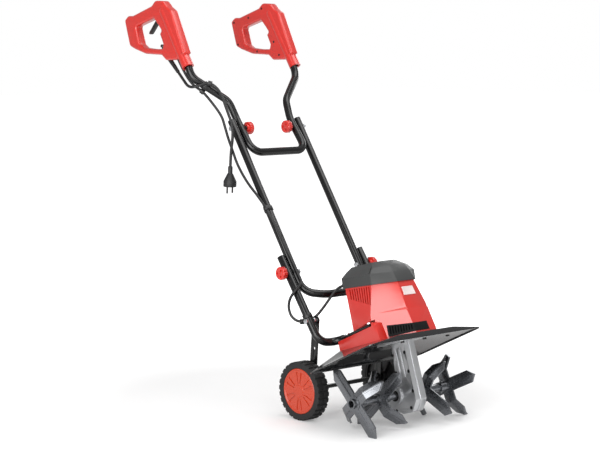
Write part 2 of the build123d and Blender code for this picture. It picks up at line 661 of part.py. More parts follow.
# ---- deck: a pressed tray whose wings slope down to a tilted rim ----
DECK_SLOPE = atan2(DECK_FRONT[1] - DECK_REAR[1], DECK_REAR[0] - DECK_FRONT[0])
DECK_LENGTH = (DECK_REAR[0] - DECK_FRONT[0]) / cos(DECK_SLOPE)
RIM = Plane(origin=spot(0, (DECK_REAR[0] + DECK_FRONT[0]) / 2, (DECK_REAR[1] + DECK_FRONT[1]) / 2),
            x_dir=(1, 0, 0), z_dir=(0, sin(DECK_SLOPE), cos(DECK_SLOPE)))
PLATFORM_REAR, PLATFORM_FRONT = 92.0, -143.0


def deck_block(inset):
    """The tray as a solid, drawn in by a wall on every side but its open underside."""
    with BuildPart() as block:
        with BuildSketch(RIM):
            RectangleRounded(DECK_WIDTH - 2 * inset, DECK_LENGTH - 2 * inset, 16 - inset)
        with BuildSketch(UNIT.offset(DECK_FOOT_W + DECK_WALL - inset)):
            with Locations((0, (PLATFORM_REAR + PLATFORM_FRONT) / 2)):
                RectangleRounded(2 * PLATFORM_HALF - 2 * inset,
                                 PLATFORM_REAR - PLATFORM_FRONT - 2 * inset, 16 - inset)
        loft(ruled=True)
        with BuildSketch(RIM):
            RectangleRounded(DECK_WIDTH - 2 * inset, DECK_LENGTH - 2 * inset, 16 - inset)
        extrude(amount=-DECK_LIP)
    return block.part


deck_solid, deck_room = deck_block(0), deck_block(DECK_WALL)
with BuildPart() as deck:
    add(deck_solid)
    add(deck_room, mode=Mode.SUBTRACT)
    with BuildSketch(UNIT.offset(DECK_FOOT_W)):
        with Locations((0, WORM_V)):
            Circle(FRAME_FLANGE_R + 2)
            with GridLocations(FLANGE_SIDE - 20, FLANGE_SIDE - 20, 2, 2):
                Circle(3.0)
    extrude(amount=DECK_WALL, mode=Mode.SUBTRACT)
    with BuildSketch(Plane(origin=spot(0, 120, 164), x_dir=(1, 0, 0), z_dir=(0, 1, 0))):
        with Locations((-57, 0), (57, 0)):        # two long holes in the rear wall
            SlotOverall(95, 22)
    extrude(amount=40, mode=Mode.SUBTRACT)
finish(deck.part, "deck")

# ---- top cover: a faceted lid with a hump ----
COVER_WALL = 2.5
COVER_LAYERS = (                              # as HOOD_SECTIONS; the first hangs round the hood's top
    (302.0, 6.4, (33.5, -110.0), (84.0, -62.0), (75.5, 57.0)),
    (330.0, 6.4, (31.0, -98.0), (83.0, -65.0), (75.5, 55.0)),
    (345.0, 5.0, (27.0, -88.0), (66.0, -60.0), (62.0, 47.0)),
    (359.0, 3.0, (23.0, -58.0), (46.0, -42.0), (46.0, 38.0)),
)


def cover_block(inset):
    """The cover as a solid; the room inside it stops a wall short of its top."""
    with BuildPart() as block:
        layers = [housing_outline(layer, inset) for layer in COVER_LAYERS]
        layers[-1] = layers[-1].moved(Location(UNIT.z_dir * -inset))
        for lower, upper in zip(layers, layers[1:]):
            loft([lower, upper], ruled=True)
    return block.part


GLAND_R, GLAND_LENGTH = 7.0, 30.0
GLAND_UP = 320.0
GLAND_PLANE = Plane(origin=unit_spot(-52, 50, GLAND_UP), x_dir=(1, 0, 0), z_dir=UNIT.y_dir)
with BuildPart() as top_cover:
    add(cover_block(0))
    add(cover_block(COVER_WALL), mode=Mode.SUBTRACT)
    with BuildSketch(UNIT_SIDE):              # an upright slot by each side crease
        with Locations((-56, 333)):
            SlotOverall(18, 3.4, rotation=82)
    extrude(amount=90, both=True, mode=Mode.SUBTRACT)
    with BuildSketch(GLAND_PLANE):
        Circle(GLAND_R)
    extrude(amount=20, mode=Mode.SUBTRACT)
finish(top_cover.part, "top_cover")

with BuildPart() as cable_gland:              # rubber sleeve that the motor cable comes out of
    with BuildSketch(GLAND_PLANE):
        Circle(GLAND_R)
    extrude(amount=14)
    with BuildSketch(GLAND_PLANE.offset(14)):
        Circle(GLAND_R)
    with BuildSketch(GLAND_PLANE.offset(GLAND_LENGTH)):
        Circle(GLAND_R - 2)
    loft()
    with BuildSketch(GLAND_PLANE.offset(GLAND_LENGTH - 8)):
        Circle(CABLE_R)
    extrude(amount=10, mode=Mode.SUBTRACT)
finish(cable_gland.part, "cable_gland")


# ================================================================================
# Handlebar tubes
# ================================================================================
BAR_DIRECTION = Vector(0, UPPER_PIVOT[0] - LOWER_PIVOT[0], UPPER_PIVOT[1] - LOWER_PIVOT[1]).normalized()
LOWER_RISE = Vector(0, LOWER_PIVOT[0] - STRUT_TOP[0], LOWER_PIVOT[1] - STRUT_TOP[1]).normalized()
MID_STUB = 26.0
BAR_STUB = 50.0                               # length of a tube past its pivot
FLAT_FROM, FLAT_TO = 120.0, 128.0             # a bar end is flat up to here, then round from here
FLAT_END = 8.0


def ledge_spot(x, back, up):
    """A point over the ledge: across, back from its front end, and above it."""
    return LEDGE_PLANE.from_local_coords(Vector(x, back, up))


for way, name in ((-1, "lower_bar_left"), (1, "lower_bar_right")):
    x, flat_x = way * LOWER_BAR_X, way * BAR_END_X
    with BuildPart() as lower_bar:
        round_sweep([spot(x, *LOWER_PIVOT) + LOWER_RISE * BAR_STUB, spot(x, *LOWER_PIVOT) - LOWER_RISE * 215.4,
                     ledge_spot(flat_x, 157, BAR_FLAT / 2), ledge_spot(flat_x, FLAT_TO, BAR_FLAT / 2)],
                    [32.0, 32.0], TUBE_R, TUBE_R - TUBE_WALL)
        along = Plane(origin=ledge_spot(flat_x, FLAT_TO, BAR_FLAT / 2), x_dir=(1, 0, 0),
                      z_dir=-LEDGE_PLANE.y_dir)
        with BuildSketch(along) as round_end:
            Circle(TUBE_R)
        with BuildSketch(along.offset(FLAT_TO - FLAT_FROM)) as flat_end:
            RectangleRounded(BAR_FLAT_WIDE, BAR_FLAT, 4)
        loft([round_end.sketch, flat_end.sketch])
        extrude(flat_end.sketch, amount=FLAT_FROM - FLAT_END)
        with BuildSketch(LEDGE_PLANE) as holes:
            with Locations(*[(flat_x, back) for back in BASE_BOLT_BACK]):
                Circle(3.0)
        extrude(holes.sketch, amount=2 * BAR_FLAT, mode=Mode.SUBTRACT)
        cut_along_x(PIVOT_BOLT_R, -200, 200, LOWER_PIVOT)
        cut_along_x(PIVOT_BOLT_R, -200, 200, STRUT_TOP)
    finish(lower_bar.part, name)

STRUT_IN, STRUT_OUT = STRUT_X - STRUT_THICK / 2, STRUT_X + STRUT_THICK / 2
BAR_FACE = LOWER_BAR_X - TUBE_R               # inner face of a lower bar
with BuildPart() as frame_bolts:
    for flat_x in (-BAR_END_X, BAR_END_X):
        for back in BASE_BOLT_BACK:
            for radius, low, high in ((6.5, BAR_FLAT, BAR_FLAT + BASE_BOLT_HEAD), (3.0, -BASE_BOLT_DEEP, BAR_FLAT)):
                with BuildSketch(LEDGE_PLANE.offset(low)) as shank:
                    with Locations((flat_x, back)):
                        if radius > 5:
                            RegularPolygon(radius, 6)
                        else:
                            Circle(radius)
                extrude(shank.sketch, amount=high - low)
    for way in (-1, 1):
        for kind, radius, start, end in (
                ("head", 13, LOWER_BAR_X + TUBE_R, LOWER_BAR_X + TUBE_R + 5),
                ("shank", PIVOT_BOLT_R, STRUT_IN, LOWER_BAR_X + TUBE_R),
                ("sleeve", 8, STRUT_OUT, BAR_FACE), ("nut", 13, STRUT_IN - 6, STRUT_IN)):
            low, high = sorted((way * start, way * end))
            if kind in ("head", "nut"):
                hexagon_along_x(radius, low, high, STRUT_TOP)
            else:
                bar_along_x(radius, low, high, STRUT_TOP)
finish(frame_bolts.part, "frame_bolts")

AXLE_SPOT = (WHEEL_BACK, WHEEL_R)
STRUT_REACH = sqrt((STRUT_TOP[0] - AXLE_SPOT[0]) ** 2 + (STRUT_TOP[1] - AXLE_SPOT[1]) ** 2)
STRUT_ANGLE = degrees(atan2(STRUT_TOP[1] - AXLE_SPOT[1], STRUT_TOP[0] - AXLE_SPOT[0]))
with BuildPart() as struts:
    for way in (-1, 1):
        with BuildSketch(SIDE.offset(way * STRUT_IN)):
            with Locations(((STRUT_TOP[0] + AXLE_SPOT[0]) / 2, (STRUT_TOP[1] + AXLE_SPOT[1]) / 2)):
                SlotOverall(STRUT_REACH + STRUT_WIDTH, STRUT_WIDTH, rotation=STRUT_ANGLE)
            with Locations(STRUT_TOP):
                Circle(PIVOT_BOLT_R, mode=Mode.SUBTRACT)
            with Locations(AXLE_SPOT):
                Circle(AXLE_R, mode=Mode.SUBTRACT)
            with Locations(SPARE_HOLE):
                Circle(STRUT_HOLE_R, mode=Mode.SUBTRACT)
        extrude(amount=way * STRUT_THICK)
finish(struts.part, "struts")

# ---- wheels ----
WHEEL_IN = WHEEL_OUT - WHEEL_WIDTH
AXLE_END = WHEEL_OUT - 4
TREAD_BLOCKS = 28
with BuildPart() as wheel_axle:
    bar_along_x(AXLE_R, -AXLE_END, AXLE_END, AXLE_SPOT)
    for way in (-1, 1):                       # shoulders on both sides of a strut, and end washers
        for start, end, radius in ((STRUT_OUT, WHEEL_IN - BODY_GAP, 11), (STRUT_IN - 6, STRUT_IN, 11),
                                   (AXLE_END - 3, AXLE_END, 10)):
            bar_along_x(radius, *sorted((way * start, way * end)), AXLE_SPOT)
finish(wheel_axle.part, "wheel_axle")


def wheel_ring(way, start, end, outer, inner):
    """A ring of a wheel between two distances from the machine's middle."""
    bar_along_x(outer, *sorted((way * start, way * end)), AXLE_SPOT, inner)


RIM_R = 62.0
for way, end_name in ((-1, "left"), (1, "right")):
    with BuildPart() as tyre:
        wheel_ring(way, WHEEL_IN, WHEEL_OUT, WHEEL_R - 3, RIM_R)
        with BuildSketch(SIDE.offset(way * WHEEL_IN)):
            with Locations(AXLE_SPOT):
                with PolarLocations(WHEEL_R - 3, TREAD_BLOCKS):
                    Rectangle(6, 12)
            with Locations(AXLE_SPOT):
                Circle(WHEEL_R - 6, mode=Mode.SUBTRACT)
        extrude(amount=way * WHEEL_WIDTH)
        with BuildSketch(SIDE.offset(way * WHEEL_IN)):
            with Locations(AXLE_SPOT):
                Circle(WHEEL_R + 20)
                Circle(WHEEL_R, mode=Mode.SUBTRACT)
        extrude(amount=way * WHEEL_WIDTH, mode=Mode.SUBTRACT)
        with BuildSketch(SIDE.offset(way * (WHEEL_IN + WHEEL_WIDTH / 2 - 2))):
            with Locations(AXLE_SPOT):
                Circle(WHEEL_R + 1)
                Circle(WHEEL_R - 2.5, mode=Mode.SUBTRACT)
        extrude(amount=way * 4, mode=Mode.SUBTRACT)
    finish(tyre.part, f"tyre_{end_name}")
    with BuildPart() as rim:
        wheel_ring(way, WHEEL_IN + 2, WHEEL_OUT - 6, RIM_R, RIM_R - 4)
        wheel_ring(way, WHEEL_IN + 12, WHEEL_IN + 16, RIM_R, 14)
        wheel_ring(way, WHEEL_IN, AXLE_END - 3.3, 15, AXLE_R + RUNNING)
        for spoke in range(6):
            with BuildSketch(SIDE.offset(way * (WHEEL_IN + 4))):
                with Locations(Location(AXLE_SPOT, spoke * 60)):
                    with Locations((RIM_R / 2 + 5, 0)):
                        Rectangle(RIM_R - 24, 4)
            extrude(amount=way * 8)
    finish(rim.part, f"wheel_rim_{end_name}")
    with BuildPart() as hub_cap:
        with BuildSketch(Plane(origin=spot(way * (WHEEL_OUT - 6), *AXLE_SPOT), x_dir=(0, 1, 0),
                               z_dir=(way, 0, 0))):
            Circle(RIM_R - 0.5)
        extrude(amount=3)
        with BuildSketch(Plane(origin=spot(way * (WHEEL_OUT - 3), *AXLE_SPOT), x_dir=(0, 1, 0),
                               z_dir=(way, 0, 0))):
            Circle(RIM_R - 0.5)
        extrude(amount=3, taper=45)
        with BuildSketch(Plane(origin=spot(way * (WHEEL_OUT - 1.4), *AXLE_SPOT), x_dir=(0, 1, 0),
                               z_dir=(way, 0, 0))):
            with PolarLocations(36, 12):
                SlotOverall(34, 7)
        extrude(amount=2, mode=Mode.SUBTRACT)
        with BuildSketch(Plane(origin=spot(way * WHEEL_OUT, *AXLE_SPOT), x_dir=(0, 1, 0),
                               z_dir=(way, 0, 0))):
            Circle(13)
        extrude(amount=3, taper=30)
        with BuildSketch(Plane(origin=spot(way * (WHEEL_OUT - 6), *AXLE_SPOT), x_dir=(0, 1, 0),
                               z_dir=(way, 0, 0))):
            Circle(12)
        extrude(amount=3, mode=Mode.SUBTRACT)
    finish(hub_cap.part, f"hub_cap_{end_name}")

# ---- middle bar: two legs and a crossbar low down ----
with BuildPart() as mid_bar:
    left = [spot(-MID_BAR_X, *UPPER_PIVOT) + BAR_DIRECTION * MID_STUB,
            spot(-MID_BAR_X, *LOWER_PIVOT) - BAR_DIRECTION * 62, spot(-70, 223, 333)]
    right = [Vector(-p.X, p.Y, p.Z) for p in reversed(left)]
    round_sweep(left + right, [50.0, 80.0, 80.0, 50.0], TUBE_R, TUBE_R - TUBE_WALL)
    cut_along_x(PIVOT_BOLT_R + RUNNING, -200, 200, LOWER_PIVOT)
    cut_along_x(PIVOT_BOLT_R, -200, 200, UPPER_PIVOT)
finish(mid_bar.part, "mid_bar")

# ---- upper bar: crossbar at its foot, then legs that bend out to the grips ----
GRIP_FOOT = (657.0, 958.0)
with BuildPart() as upper_bar:
    left = [spot(-GRIP_X, 700, 1024), spot(-GRIP_X + 3, *GRIP_FOOT), spot(-197, 640, 918),
            spot(-108, 585, 850), spot(-UPPER_BAR_X, 558.3, 797), spot(-UPPER_BAR_X, 489, 709)]
    right = [Vector(-p.X, p.Y, p.Z) for p in reversed(left)]
    round_sweep(left + right, [300.0, 42.0, 46.0, 140.0, 34.0, 34.0, 140.0, 46.0, 42.0, 300.0],
                TUBE_R, TUBE_R - TUBE_WALL)
    cut_along_x(PIVOT_BOLT_R + RUNNING, -130, 130, UPPER_PIVOT)
finish(upper_bar.part, "upper_bar")

# ---- pivots: bolts, nylon spacers and screw knobs ----
MID_IN, MID_OUT = MID_BAR_X - TUBE_R, MID_BAR_X + TUBE_R
UPPER_IN, UPPER_OUT = UPPER_BAR_X - TUBE_R, UPPER_BAR_X + TUBE_R
LOWER_OUT = LOWER_BAR_X + TUBE_R
BOLT_HEAD = 5.5
KNOB_R, KNOB_TALL = 18.0, 19.0
SPACER_R = 10.0
LOWER_KNOB_FACE = LOWER_OUT + BODY_GAP
COLLAR_R, COLLAR_LONG = 8.0, 4.5            # collar between an upper knob and the bar
UPPER_KNOB_FACE = UPPER_IN - COLLAR_LONG - BODY_GAP


def pivot_bolts(head_from, head_to, shank_from, shank_to, centre):
    """A bolt on each side of the machine, hexagon head and plain shank."""
    for way in (-1, 1):
        hexagon_along_x(13, *sorted((way * head_from, way * head_to)), centre)
        bar_along_x(PIVOT_BOLT_R, *sorted((way * shank_from, way * shank_to)), centre)


with BuildPart() as lower_pivot_bolts:
    head = MID_IN - BODY_GAP
    pivot_bolts(head - BOLT_HEAD, head, head, LOWER_KNOB_FACE + KNOB_TALL - 6, LOWER_PIVOT)
finish(lower_pivot_bolts.part, "lower_pivot_bolts")

with BuildPart() as upper_pivot_bolts:
    pivot_bolts(MID_OUT, MID_OUT + BOLT_HEAD, UPPER_KNOB_FACE - KNOB_TALL + 6, MID_OUT, UPPER_PIVOT)
finish(upper_pivot_bolts.part, "upper_pivot_bolts")

with BuildPart() as lower_spacers:
    for way in (-1, 1):
        bar_along_x(SPACER_R, *sorted((way * (MID_OUT + BODY_GAP), way * (LOWER_OUT - 2 * TUBE_R))),
                    LOWER_PIVOT, PIVOT_BOLT_R)
finish(lower_spacers.part, "lower_spacers")

with BuildPart() as upper_spacers:
    for way in (-1, 1):
        bar_along_x(SPACER_R, *sorted((way * (UPPER_OUT + BODY_GAP), way * MID_IN)),
                    UPPER_PIVOT, PIVOT_BOLT_R)
        bar_along_x(COLLAR_R, *sorted((way * (UPPER_KNOB_FACE + BODY_GAP), way * (UPPER_IN - BODY_GAP))),
                    UPPER_PIVOT, PIVOT_BOLT_R)
finish(upper_spacers.part, "upper_spacers")

# name, distance of the knob's foot from the middle, direction it stands out, pivot
KNOBS = (
    ("lower_knob_left", -LOWER_KNOB_FACE, -1, LOWER_PIVOT), ("lower_knob_right", LOWER_KNOB_FACE, 1, LOWER_PIVOT),
    ("upper_knob_left", -UPPER_KNOB_FACE, 1, UPPER_PIVOT), ("upper_knob_right", UPPER_KNOB_FACE, -1, UPPER_PIVOT),
)
for name, foot_x, way, centre in KNOBS:
    foot = Plane(origin=spot(foot_x, *centre), x_dir=(0, 1, 0), z_dir=(way, 0, 0))
    with BuildPart() as knob:
        with BuildSketch(foot):
            Circle(KNOB_R - 7)
        extrude(amount=5)
        with BuildSketch(foot.offset(5)):
            Circle(KNOB_R)
        extrude(amount=KNOB_TALL - 5)
        chamfer(knob.faces().sort_by(Axis((0, 0, 0), (way, 0, 0)))[-1].edges(), 1.5)
        with BuildSketch(foot.offset(5)):
            with PolarLocations(KNOB_R + 1.5, 9):
                Circle(3)
        extrude(amount=KNOB_TALL, mode=Mode.SUBTRACT)
        with BuildSketch(foot):
            Circle(PIVOT_BOLT_R + RUNNING)
        extrude(amount=KNOB_TALL - 6 + BODY_GAP, mode=Mode.SUBTRACT)
        with BuildSketch(foot.offset(KNOB_TALL)):
            with PolarLocations(9.5, 3):
                Circle(3.4)
        extrude(amount=-5, mode=Mode.SUBTRACT)
    finish(knob.part, name)

# ================================================================================
# Grips
# ================================================================================
def rounded_outline(corners):
    """A closed outline of (back, up, radius) corners, each radius kept within its two sides."""
    points = [Vector(back, up) for back, up, radius in corners]
    radii = []
    for i, (back, up, radius) in enumerate(corners):
        before, here, after = points[i - 1], points[i], points[(i + 1) % len(points)]
        turn = radians((here - before).get_angle(after - here))
        room = 0.45 * min((here - before).length, (after - here).length)
        radii.append(min(radius, room / tan(turn / 2)))
    return FilletPolyline(*[(p.X, p.Y) for p in points], radius=radii, close=True)


GRIP_CORNERS = (
    (622, 961, 5), (711, 1106, 14), (731, 1117, 12), (750, 1134, 14), (785, 1136, 16), (802, 1121, 14),
    (893, 1094, 12), (915, 1094, 12), (931, 1082, 9), (926, 1065, 30), (907, 1007, 14), (884, 998, 25),
    (832, 984, 40), (757, 981, 12), (736, 966, 8), (690, 967, 8), (676, 949, 6), (661, 946, 5),
)
OPENING_CORNERS = (
    (792, 1086, 5), (877, 1063, 8), (859, 1012, 12), (842, 1002, 12), (800, 998, 30), (751, 998, 8),
    (748, 1012, 6), (771, 1056, 14),
)
SCREW_SPOTS = ((746, 1101), (729, 1069), (730, 1020), (706, 981), (847, 1093), (915, 1079), (896, 1012),
               (806, 991), (786, 1120))
GRIP_AXIS_FOOT = spot(-GRIP_X + 3, *GRIP_FOOT)
GRIP_EDGE = 5.0
SCREW_R = 1.6
TRIGGER_PIVOT = (776.0, 1088.0)
TRIGGER_HALF = 6.0
TRIGGER_PIN_R = 2.0
BUTTON_SPOT = 764.0
RELIEF_TOP = spot(-GRIP_X, 728, 964)
RELIEF_WAY = Vector(0, -0.727, -0.687).normalized()
RELIEF_R, RELIEF_TIP_R, RELIEF_LENGTH, RELIEF_INSIDE = 6.5, 5.2, 45.0, 10.0
CABLE_TOP = spot(-GRIP_X, 697, 972.5)
CABLE_TOP_WAY = (spot(-GRIP_X + 2, 674, 936) - CABLE_TOP).normalized()

with BuildSketch(SIDE) as grip_face:
    with BuildLine():
        rounded_outline(GRIP_CORNERS)
    make_face()
    with BuildLine():
        rounded_outline(OPENING_CORNERS)
    make_face(mode=Mode.SUBTRACT)

with BuildSketch(SIDE) as opening_edge:
    with BuildLine():
        rounded_outline(OPENING_CORNERS)
    make_face()
    offset(amount=GRIP_WALL, kind=Kind.INTERSECTION)

with BuildSketch(SIDE) as grip_room:
    with BuildLine():
        rounded_outline(GRIP_CORNERS)
    make_face()
    offset(amount=-GRIP_WALL, kind=Kind.INTERSECTION)
    add(opening_edge.sketch_local, mode=Mode.SUBTRACT)

TUBE_WAY = Vector(0, 700 - GRIP_FOOT[0], 1024 - GRIP_FOOT[1]).normalized()
# the shell's name, side of the machine, and whether it is the outer half
GRIP_SHELLS = (("left_grip_outer", -1, 1), ("left_grip_inner", -1, -1),
               ("right_grip_outer", 1, 1), ("right_grip_inner", 1, -1))
for name, side, half in GRIP_SHELLS:
    way = side * half                         # from the split to the shell's outer face
    split = side * GRIP_X
    depth = GRIP_THICK / 2
    with BuildPart() as shell:
        extrude(grip_face.sketch.moved(Location((split, 0, 0))), amount=way * depth)
        fillet(shell.faces().sort_by(Axis((0, 0, 0), (way, 0, 0)))[-1].edges(), GRIP_EDGE)
        extrude(grip_room.sketch.moved(Location((split, 0, 0))), amount=way * (depth - GRIP_WALL),
                mode=Mode.SUBTRACT)
        # ribs that hold the tube, and posts for the screws
        with BuildSketch(SIDE.offset(split)) as ribs:
            for up_tube in (14, 34, 54):
                middle = spot(0, *GRIP_FOOT) + TUBE_WAY * up_tube
                with Locations(Location((middle.Y - TINE_Y, middle.Z), degrees(atan2(TUBE_WAY.Z, TUBE_WAY.Y)))):
                    Rectangle(2.5, 60)
            add(grip_room.sketch_local, mode=Mode.INTERSECT)
        extrude(ribs.sketch, amount=way * (depth - GRIP_WALL))
        with BuildSketch(SIDE.offset(split)) as posts:
            with Locations(*SCREW_SPOTS):
                Circle(4)
            if side < 0:
                with Locations(TRIGGER_PIVOT):
                    Circle(4.5)
        extrude(posts.sketch, amount=way * (depth - GRIP_WALL))
        with BuildSketch(SIDE.offset(split)) as screw_holes:
            with Locations(*SCREW_SPOTS):
                Circle(SCREW_R)
        extrude(screw_holes.sketch, amount=way * (depth - GRIP_WALL), mode=Mode.SUBTRACT)
        if half < 0:                          # the screws go in from the inner side
            extrude(screw_holes.sketch, amount=way * depth, mode=Mode.SUBTRACT)
            with BuildSketch(SIDE.offset(split + way * depth)) as heads:
                with Locations(*SCREW_SPOTS):
                    Circle(3.2)
            extrude(heads.sketch, amount=-way * 4, mode=Mode.SUBTRACT)
        tube_space = Plane(origin=spot(split, *GRIP_FOOT) - TUBE_WAY * 30, z_dir=TUBE_WAY)
        with BuildSketch(tube_space) as tube_hole:
            Circle(TUBE_R)
        extrude(tube_hole.sketch, amount=30 + 79, mode=Mode.SUBTRACT)
        add(upper_bar.part, mode=Mode.SUBTRACT)
        if side < 0:                          # this grip also holds the switch, lever and cables
            with BuildSketch(SIDE.offset(split)) as lever_room:
                Polygon((770, 1093), (779, 1098), (794, 1087), (785, 1064), (768, 1070), align=None)
            extrude(lever_room.sketch, amount=way * (TRIGGER_HALF + BODY_GAP), mode=Mode.SUBTRACT)
            with BuildSketch(SIDE.offset(split)) as pin_hole:
                with Locations(TRIGGER_PIVOT):
                    Circle(TRIGGER_PIN_R)
            extrude(pin_hole.sketch, amount=way * (TRIGGER_HALF + 5), mode=Mode.SUBTRACT)
            for start, toward, radius, length in (
                    (RELIEF_TOP, RELIEF_WAY, RELIEF_R, 30), (CABLE_TOP, CABLE_TOP_WAY, CABLE_R, 38),
                    (spot(-GRIP_X, BUTTON_SPOT, 1000), Vector(0, 0, -1), 4.0 + BODY_GAP, 26)):
                with BuildSketch(Plane(origin=start - toward * 12, z_dir=toward)) as passage:
                    Circle(radius)
                extrude(passage.sketch, amount=length, mode=Mode.SUBTRACT)
    finish(shell.part.solids().sort_by(SortBy.VOLUME)[-1], name)

with BuildPart() as grip_screws:
    for side in (-1, 1):
        for back, up in SCREW_SPOTS:
            tip, head = side * (GRIP_X + GRIP_THICK / 2 - GRIP_WALL), side * (GRIP_X - GRIP_THICK / 2 + 4)
            bar_along_x(SCREW_R, *sorted((tip, head)), (back, up))
            bar_along_x(3.2, *sorted((head, head - side * 2.2)), (back, up))
    bar_along_x(TRIGGER_PIN_R, -GRIP_X - TRIGGER_HALF - 5, -GRIP_X + TRIGGER_HALF + 5, TRIGGER_PIVOT)
finish(grip_screws.part, "grip_screws")

with BuildPart() as trigger_lever:
    with BuildSketch(SIDE.offset(-GRIP_X - TRIGGER_HALF)):
        with Locations(TRIGGER_PIVOT):
            Circle(5)
        Polygon((773, 1084), (779.5, 1091), (822, 1046), (822.5, 1042), (819, 1040), (815, 1041.5), align=None)
    extrude(amount=2 * TRIGGER_HALF)
    fillet(trigger_lever.edges().filter_by(Axis.X).group_by(Axis.Z)[0], 1.0)
    cut_along_x(TRIGGER_PIN_R + RUNNING, -GRIP_X - 20, -GRIP_X + 20, TRIGGER_PIVOT)
finish(trigger_lever.part, "trigger_lever")

with BuildPart() as power_switch:
    with BuildSketch(SIDE.offset(-GRIP_X - GRIP_THICK / 2 + GRIP_WALL)):
        with Locations(Location((751, 1078), 56)):
            Rectangle(26, 13)
    extrude(amount=GRIP_THICK - 2 * GRIP_WALL)
finish(power_switch.part, "power_switch")

BUTTON_FOOT = Plane(origin=spot(-GRIP_X, BUTTON_SPOT, 992.6))
with BuildPart() as lock_button:
    for radius, low, high in ((5.5, 0, 2.1), (4.0, 2.1, 10), (7.5, 10, 18.5)):
        with BuildSketch(BUTTON_FOOT.offset(low)):
            Circle(radius)
        extrude(amount=high - low)
    fillet(lock_button.edges().group_by(Axis.Z)[-1], 3.0)
finish(lock_button.part, "lock_button")

# ================================================================================
# Cables
# ================================================================================
def cord_line(points):
    """The middle line of a cable: straight runs joined by bends as large as the runs allow."""
    radii = []
    for before, here, after in zip(points, points[1:], points[2:]):
        turn = radians((here - before).get_angle(after - here))
        radii.append(0.45 * min((here - before).length, (after - here).length) / tan(turn / 2))
    with BuildLine():
        middle = FilletPolyline(*points, radius=radii)
    print("bends", [round(r) for r in radii], "length", round(middle.length))
    return middle


def lay_cord(line, radius):
    """Sweep a round section along a middle line."""
    with BuildSketch(Plane(origin=line @ 0, z_dir=line % 0)) as section:
        Circle(radius)
    swept = sweep(section.sketch, path=line)
    print("volume over section times length", round(swept.volume / (pi * radius ** 2 * line.length), 4))


# the motor cable changes hands at each fold of the handlebar
SPLIT_GAP = 4.5                               # room for the middle length's end as the bar folds
UPPER_SPLIT, LOWER_SPLIT = spot(-139.5, 566, 781), spot(-129, 264.2, 382.1)
UPPER_SPLIT_WAY = Vector(0, 0.406, 0.914).normalized()
LOWER_SPLIT_WAY = (spot(-131, 308, 447) - LOWER_SPLIT).normalized()
lead_line = cord_line([
    RELIEF_TOP + RELIEF_WAY * RELIEF_LENGTH, RELIEF_TOP + RELIEF_WAY * (RELIEF_LENGTH + 32),
    spot(-206, 643, 889),
    spot(-192, 615, 895), spot(-166, 604, 905), spot(-150, 584, 888), spot(-150, 562, 862),
    spot(-150, 545, 829), spot(-150, 519, 786), spot(-150, 519, 747), spot(-149, 529, 709),
    spot(-148, 532, 670)])
upper_line = cord_line([
    CABLE_TOP, spot(-GRIP_X + 2, 674, 936), spot(-193, 645, 898), spot(-172.4, 625.3, 879.7),
    spot(-153, 609, 850), UPPER_SPLIT + UPPER_SPLIT_WAY * 32, UPPER_SPLIT])
middle_line = cord_line([
    UPPER_SPLIT, UPPER_SPLIT - UPPER_SPLIT_WAY * 38, spot(-139.5, 531, 712), spot(-139.5, 511, 674),
    spot(-139.5, 468, 626), spot(-139.5, 420, 590), spot(-137.6, 390.6, 561.1),
    spot(-135, 345, 505), spot(-131, 308, 447), LOWER_SPLIT])
lower_line = cord_line([
    LOWER_SPLIT, LOWER_SPLIT - LOWER_SPLIT_WAY * 12, spot(-146, 244, 362), spot(-166, 247, 345),
    spot(-170, 260, 324),
    spot(-168, 266, 300), spot(-167, 255, 277), spot(-158, 236, 265), spot(-134, 224, 266),
    spot(-112, 216, 277), spot(-92, 208, 301), spot(-71, 203, 327), unit_spot(-52, 102, GLAND_UP),
    unit_spot(-52, 72, GLAND_UP)])

with BuildPart() as mains_lead:
    lay_cord(lead_line, LEAD_R)
finish(mains_lead.part, "mains_lead")

with BuildPart() as motor_cable_upper:
    lay_cord(upper_line, CABLE_R)
finish(motor_cable_upper.part, "motor_cable_upper")

with BuildPart() as motor_cable_middle:
    lay_cord(middle_line, CABLE_R)
finish(motor_cable_middle.part, "motor_cable_middle")

with BuildPart() as motor_cable_lower:
    lay_cord(lower_line, CABLE_R)
    with BuildSketch(Plane(origin=LOWER_SPLIT + LOWER_SPLIT_WAY, z_dir=-LOWER_SPLIT_WAY)):
        Circle(2 * CABLE_R)
    extrude(amount=1 + SPLIT_GAP, mode=Mode.SUBTRACT)
finish(motor_cable_lower.part, "motor_cable_lower")

with BuildPart() as strain_relief:            # ribbed rubber sleeve where the lead leaves the grip
    with BuildSketch(Plane(origin=RELIEF_TOP - RELIEF_WAY * RELIEF_INSIDE, z_dir=RELIEF_WAY)):
        Circle(RELIEF_R)
    extrude(amount=RELIEF_INSIDE)
    with BuildSketch(Plane(origin=RELIEF_TOP, z_dir=RELIEF_WAY)):
        Circle(RELIEF_R)
    with BuildSketch(Plane(origin=RELIEF_TOP + RELIEF_WAY * RELIEF_LENGTH, z_dir=RELIEF_WAY)):
        Circle(RELIEF_TIP_R)
    loft()
    for step in range(6):
        with BuildSketch(Plane(origin=RELIEF_TOP + RELIEF_WAY * (7 + step * 6), z_dir=RELIEF_WAY)):
            Circle(RELIEF_R + 2)
            Circle(RELIEF_TIP_R - 0.8, mode=Mode.SUBTRACT)
        extrude(amount=2.4, mode=Mode.SUBTRACT)
finish(strain_relief.part, "strain_relief")

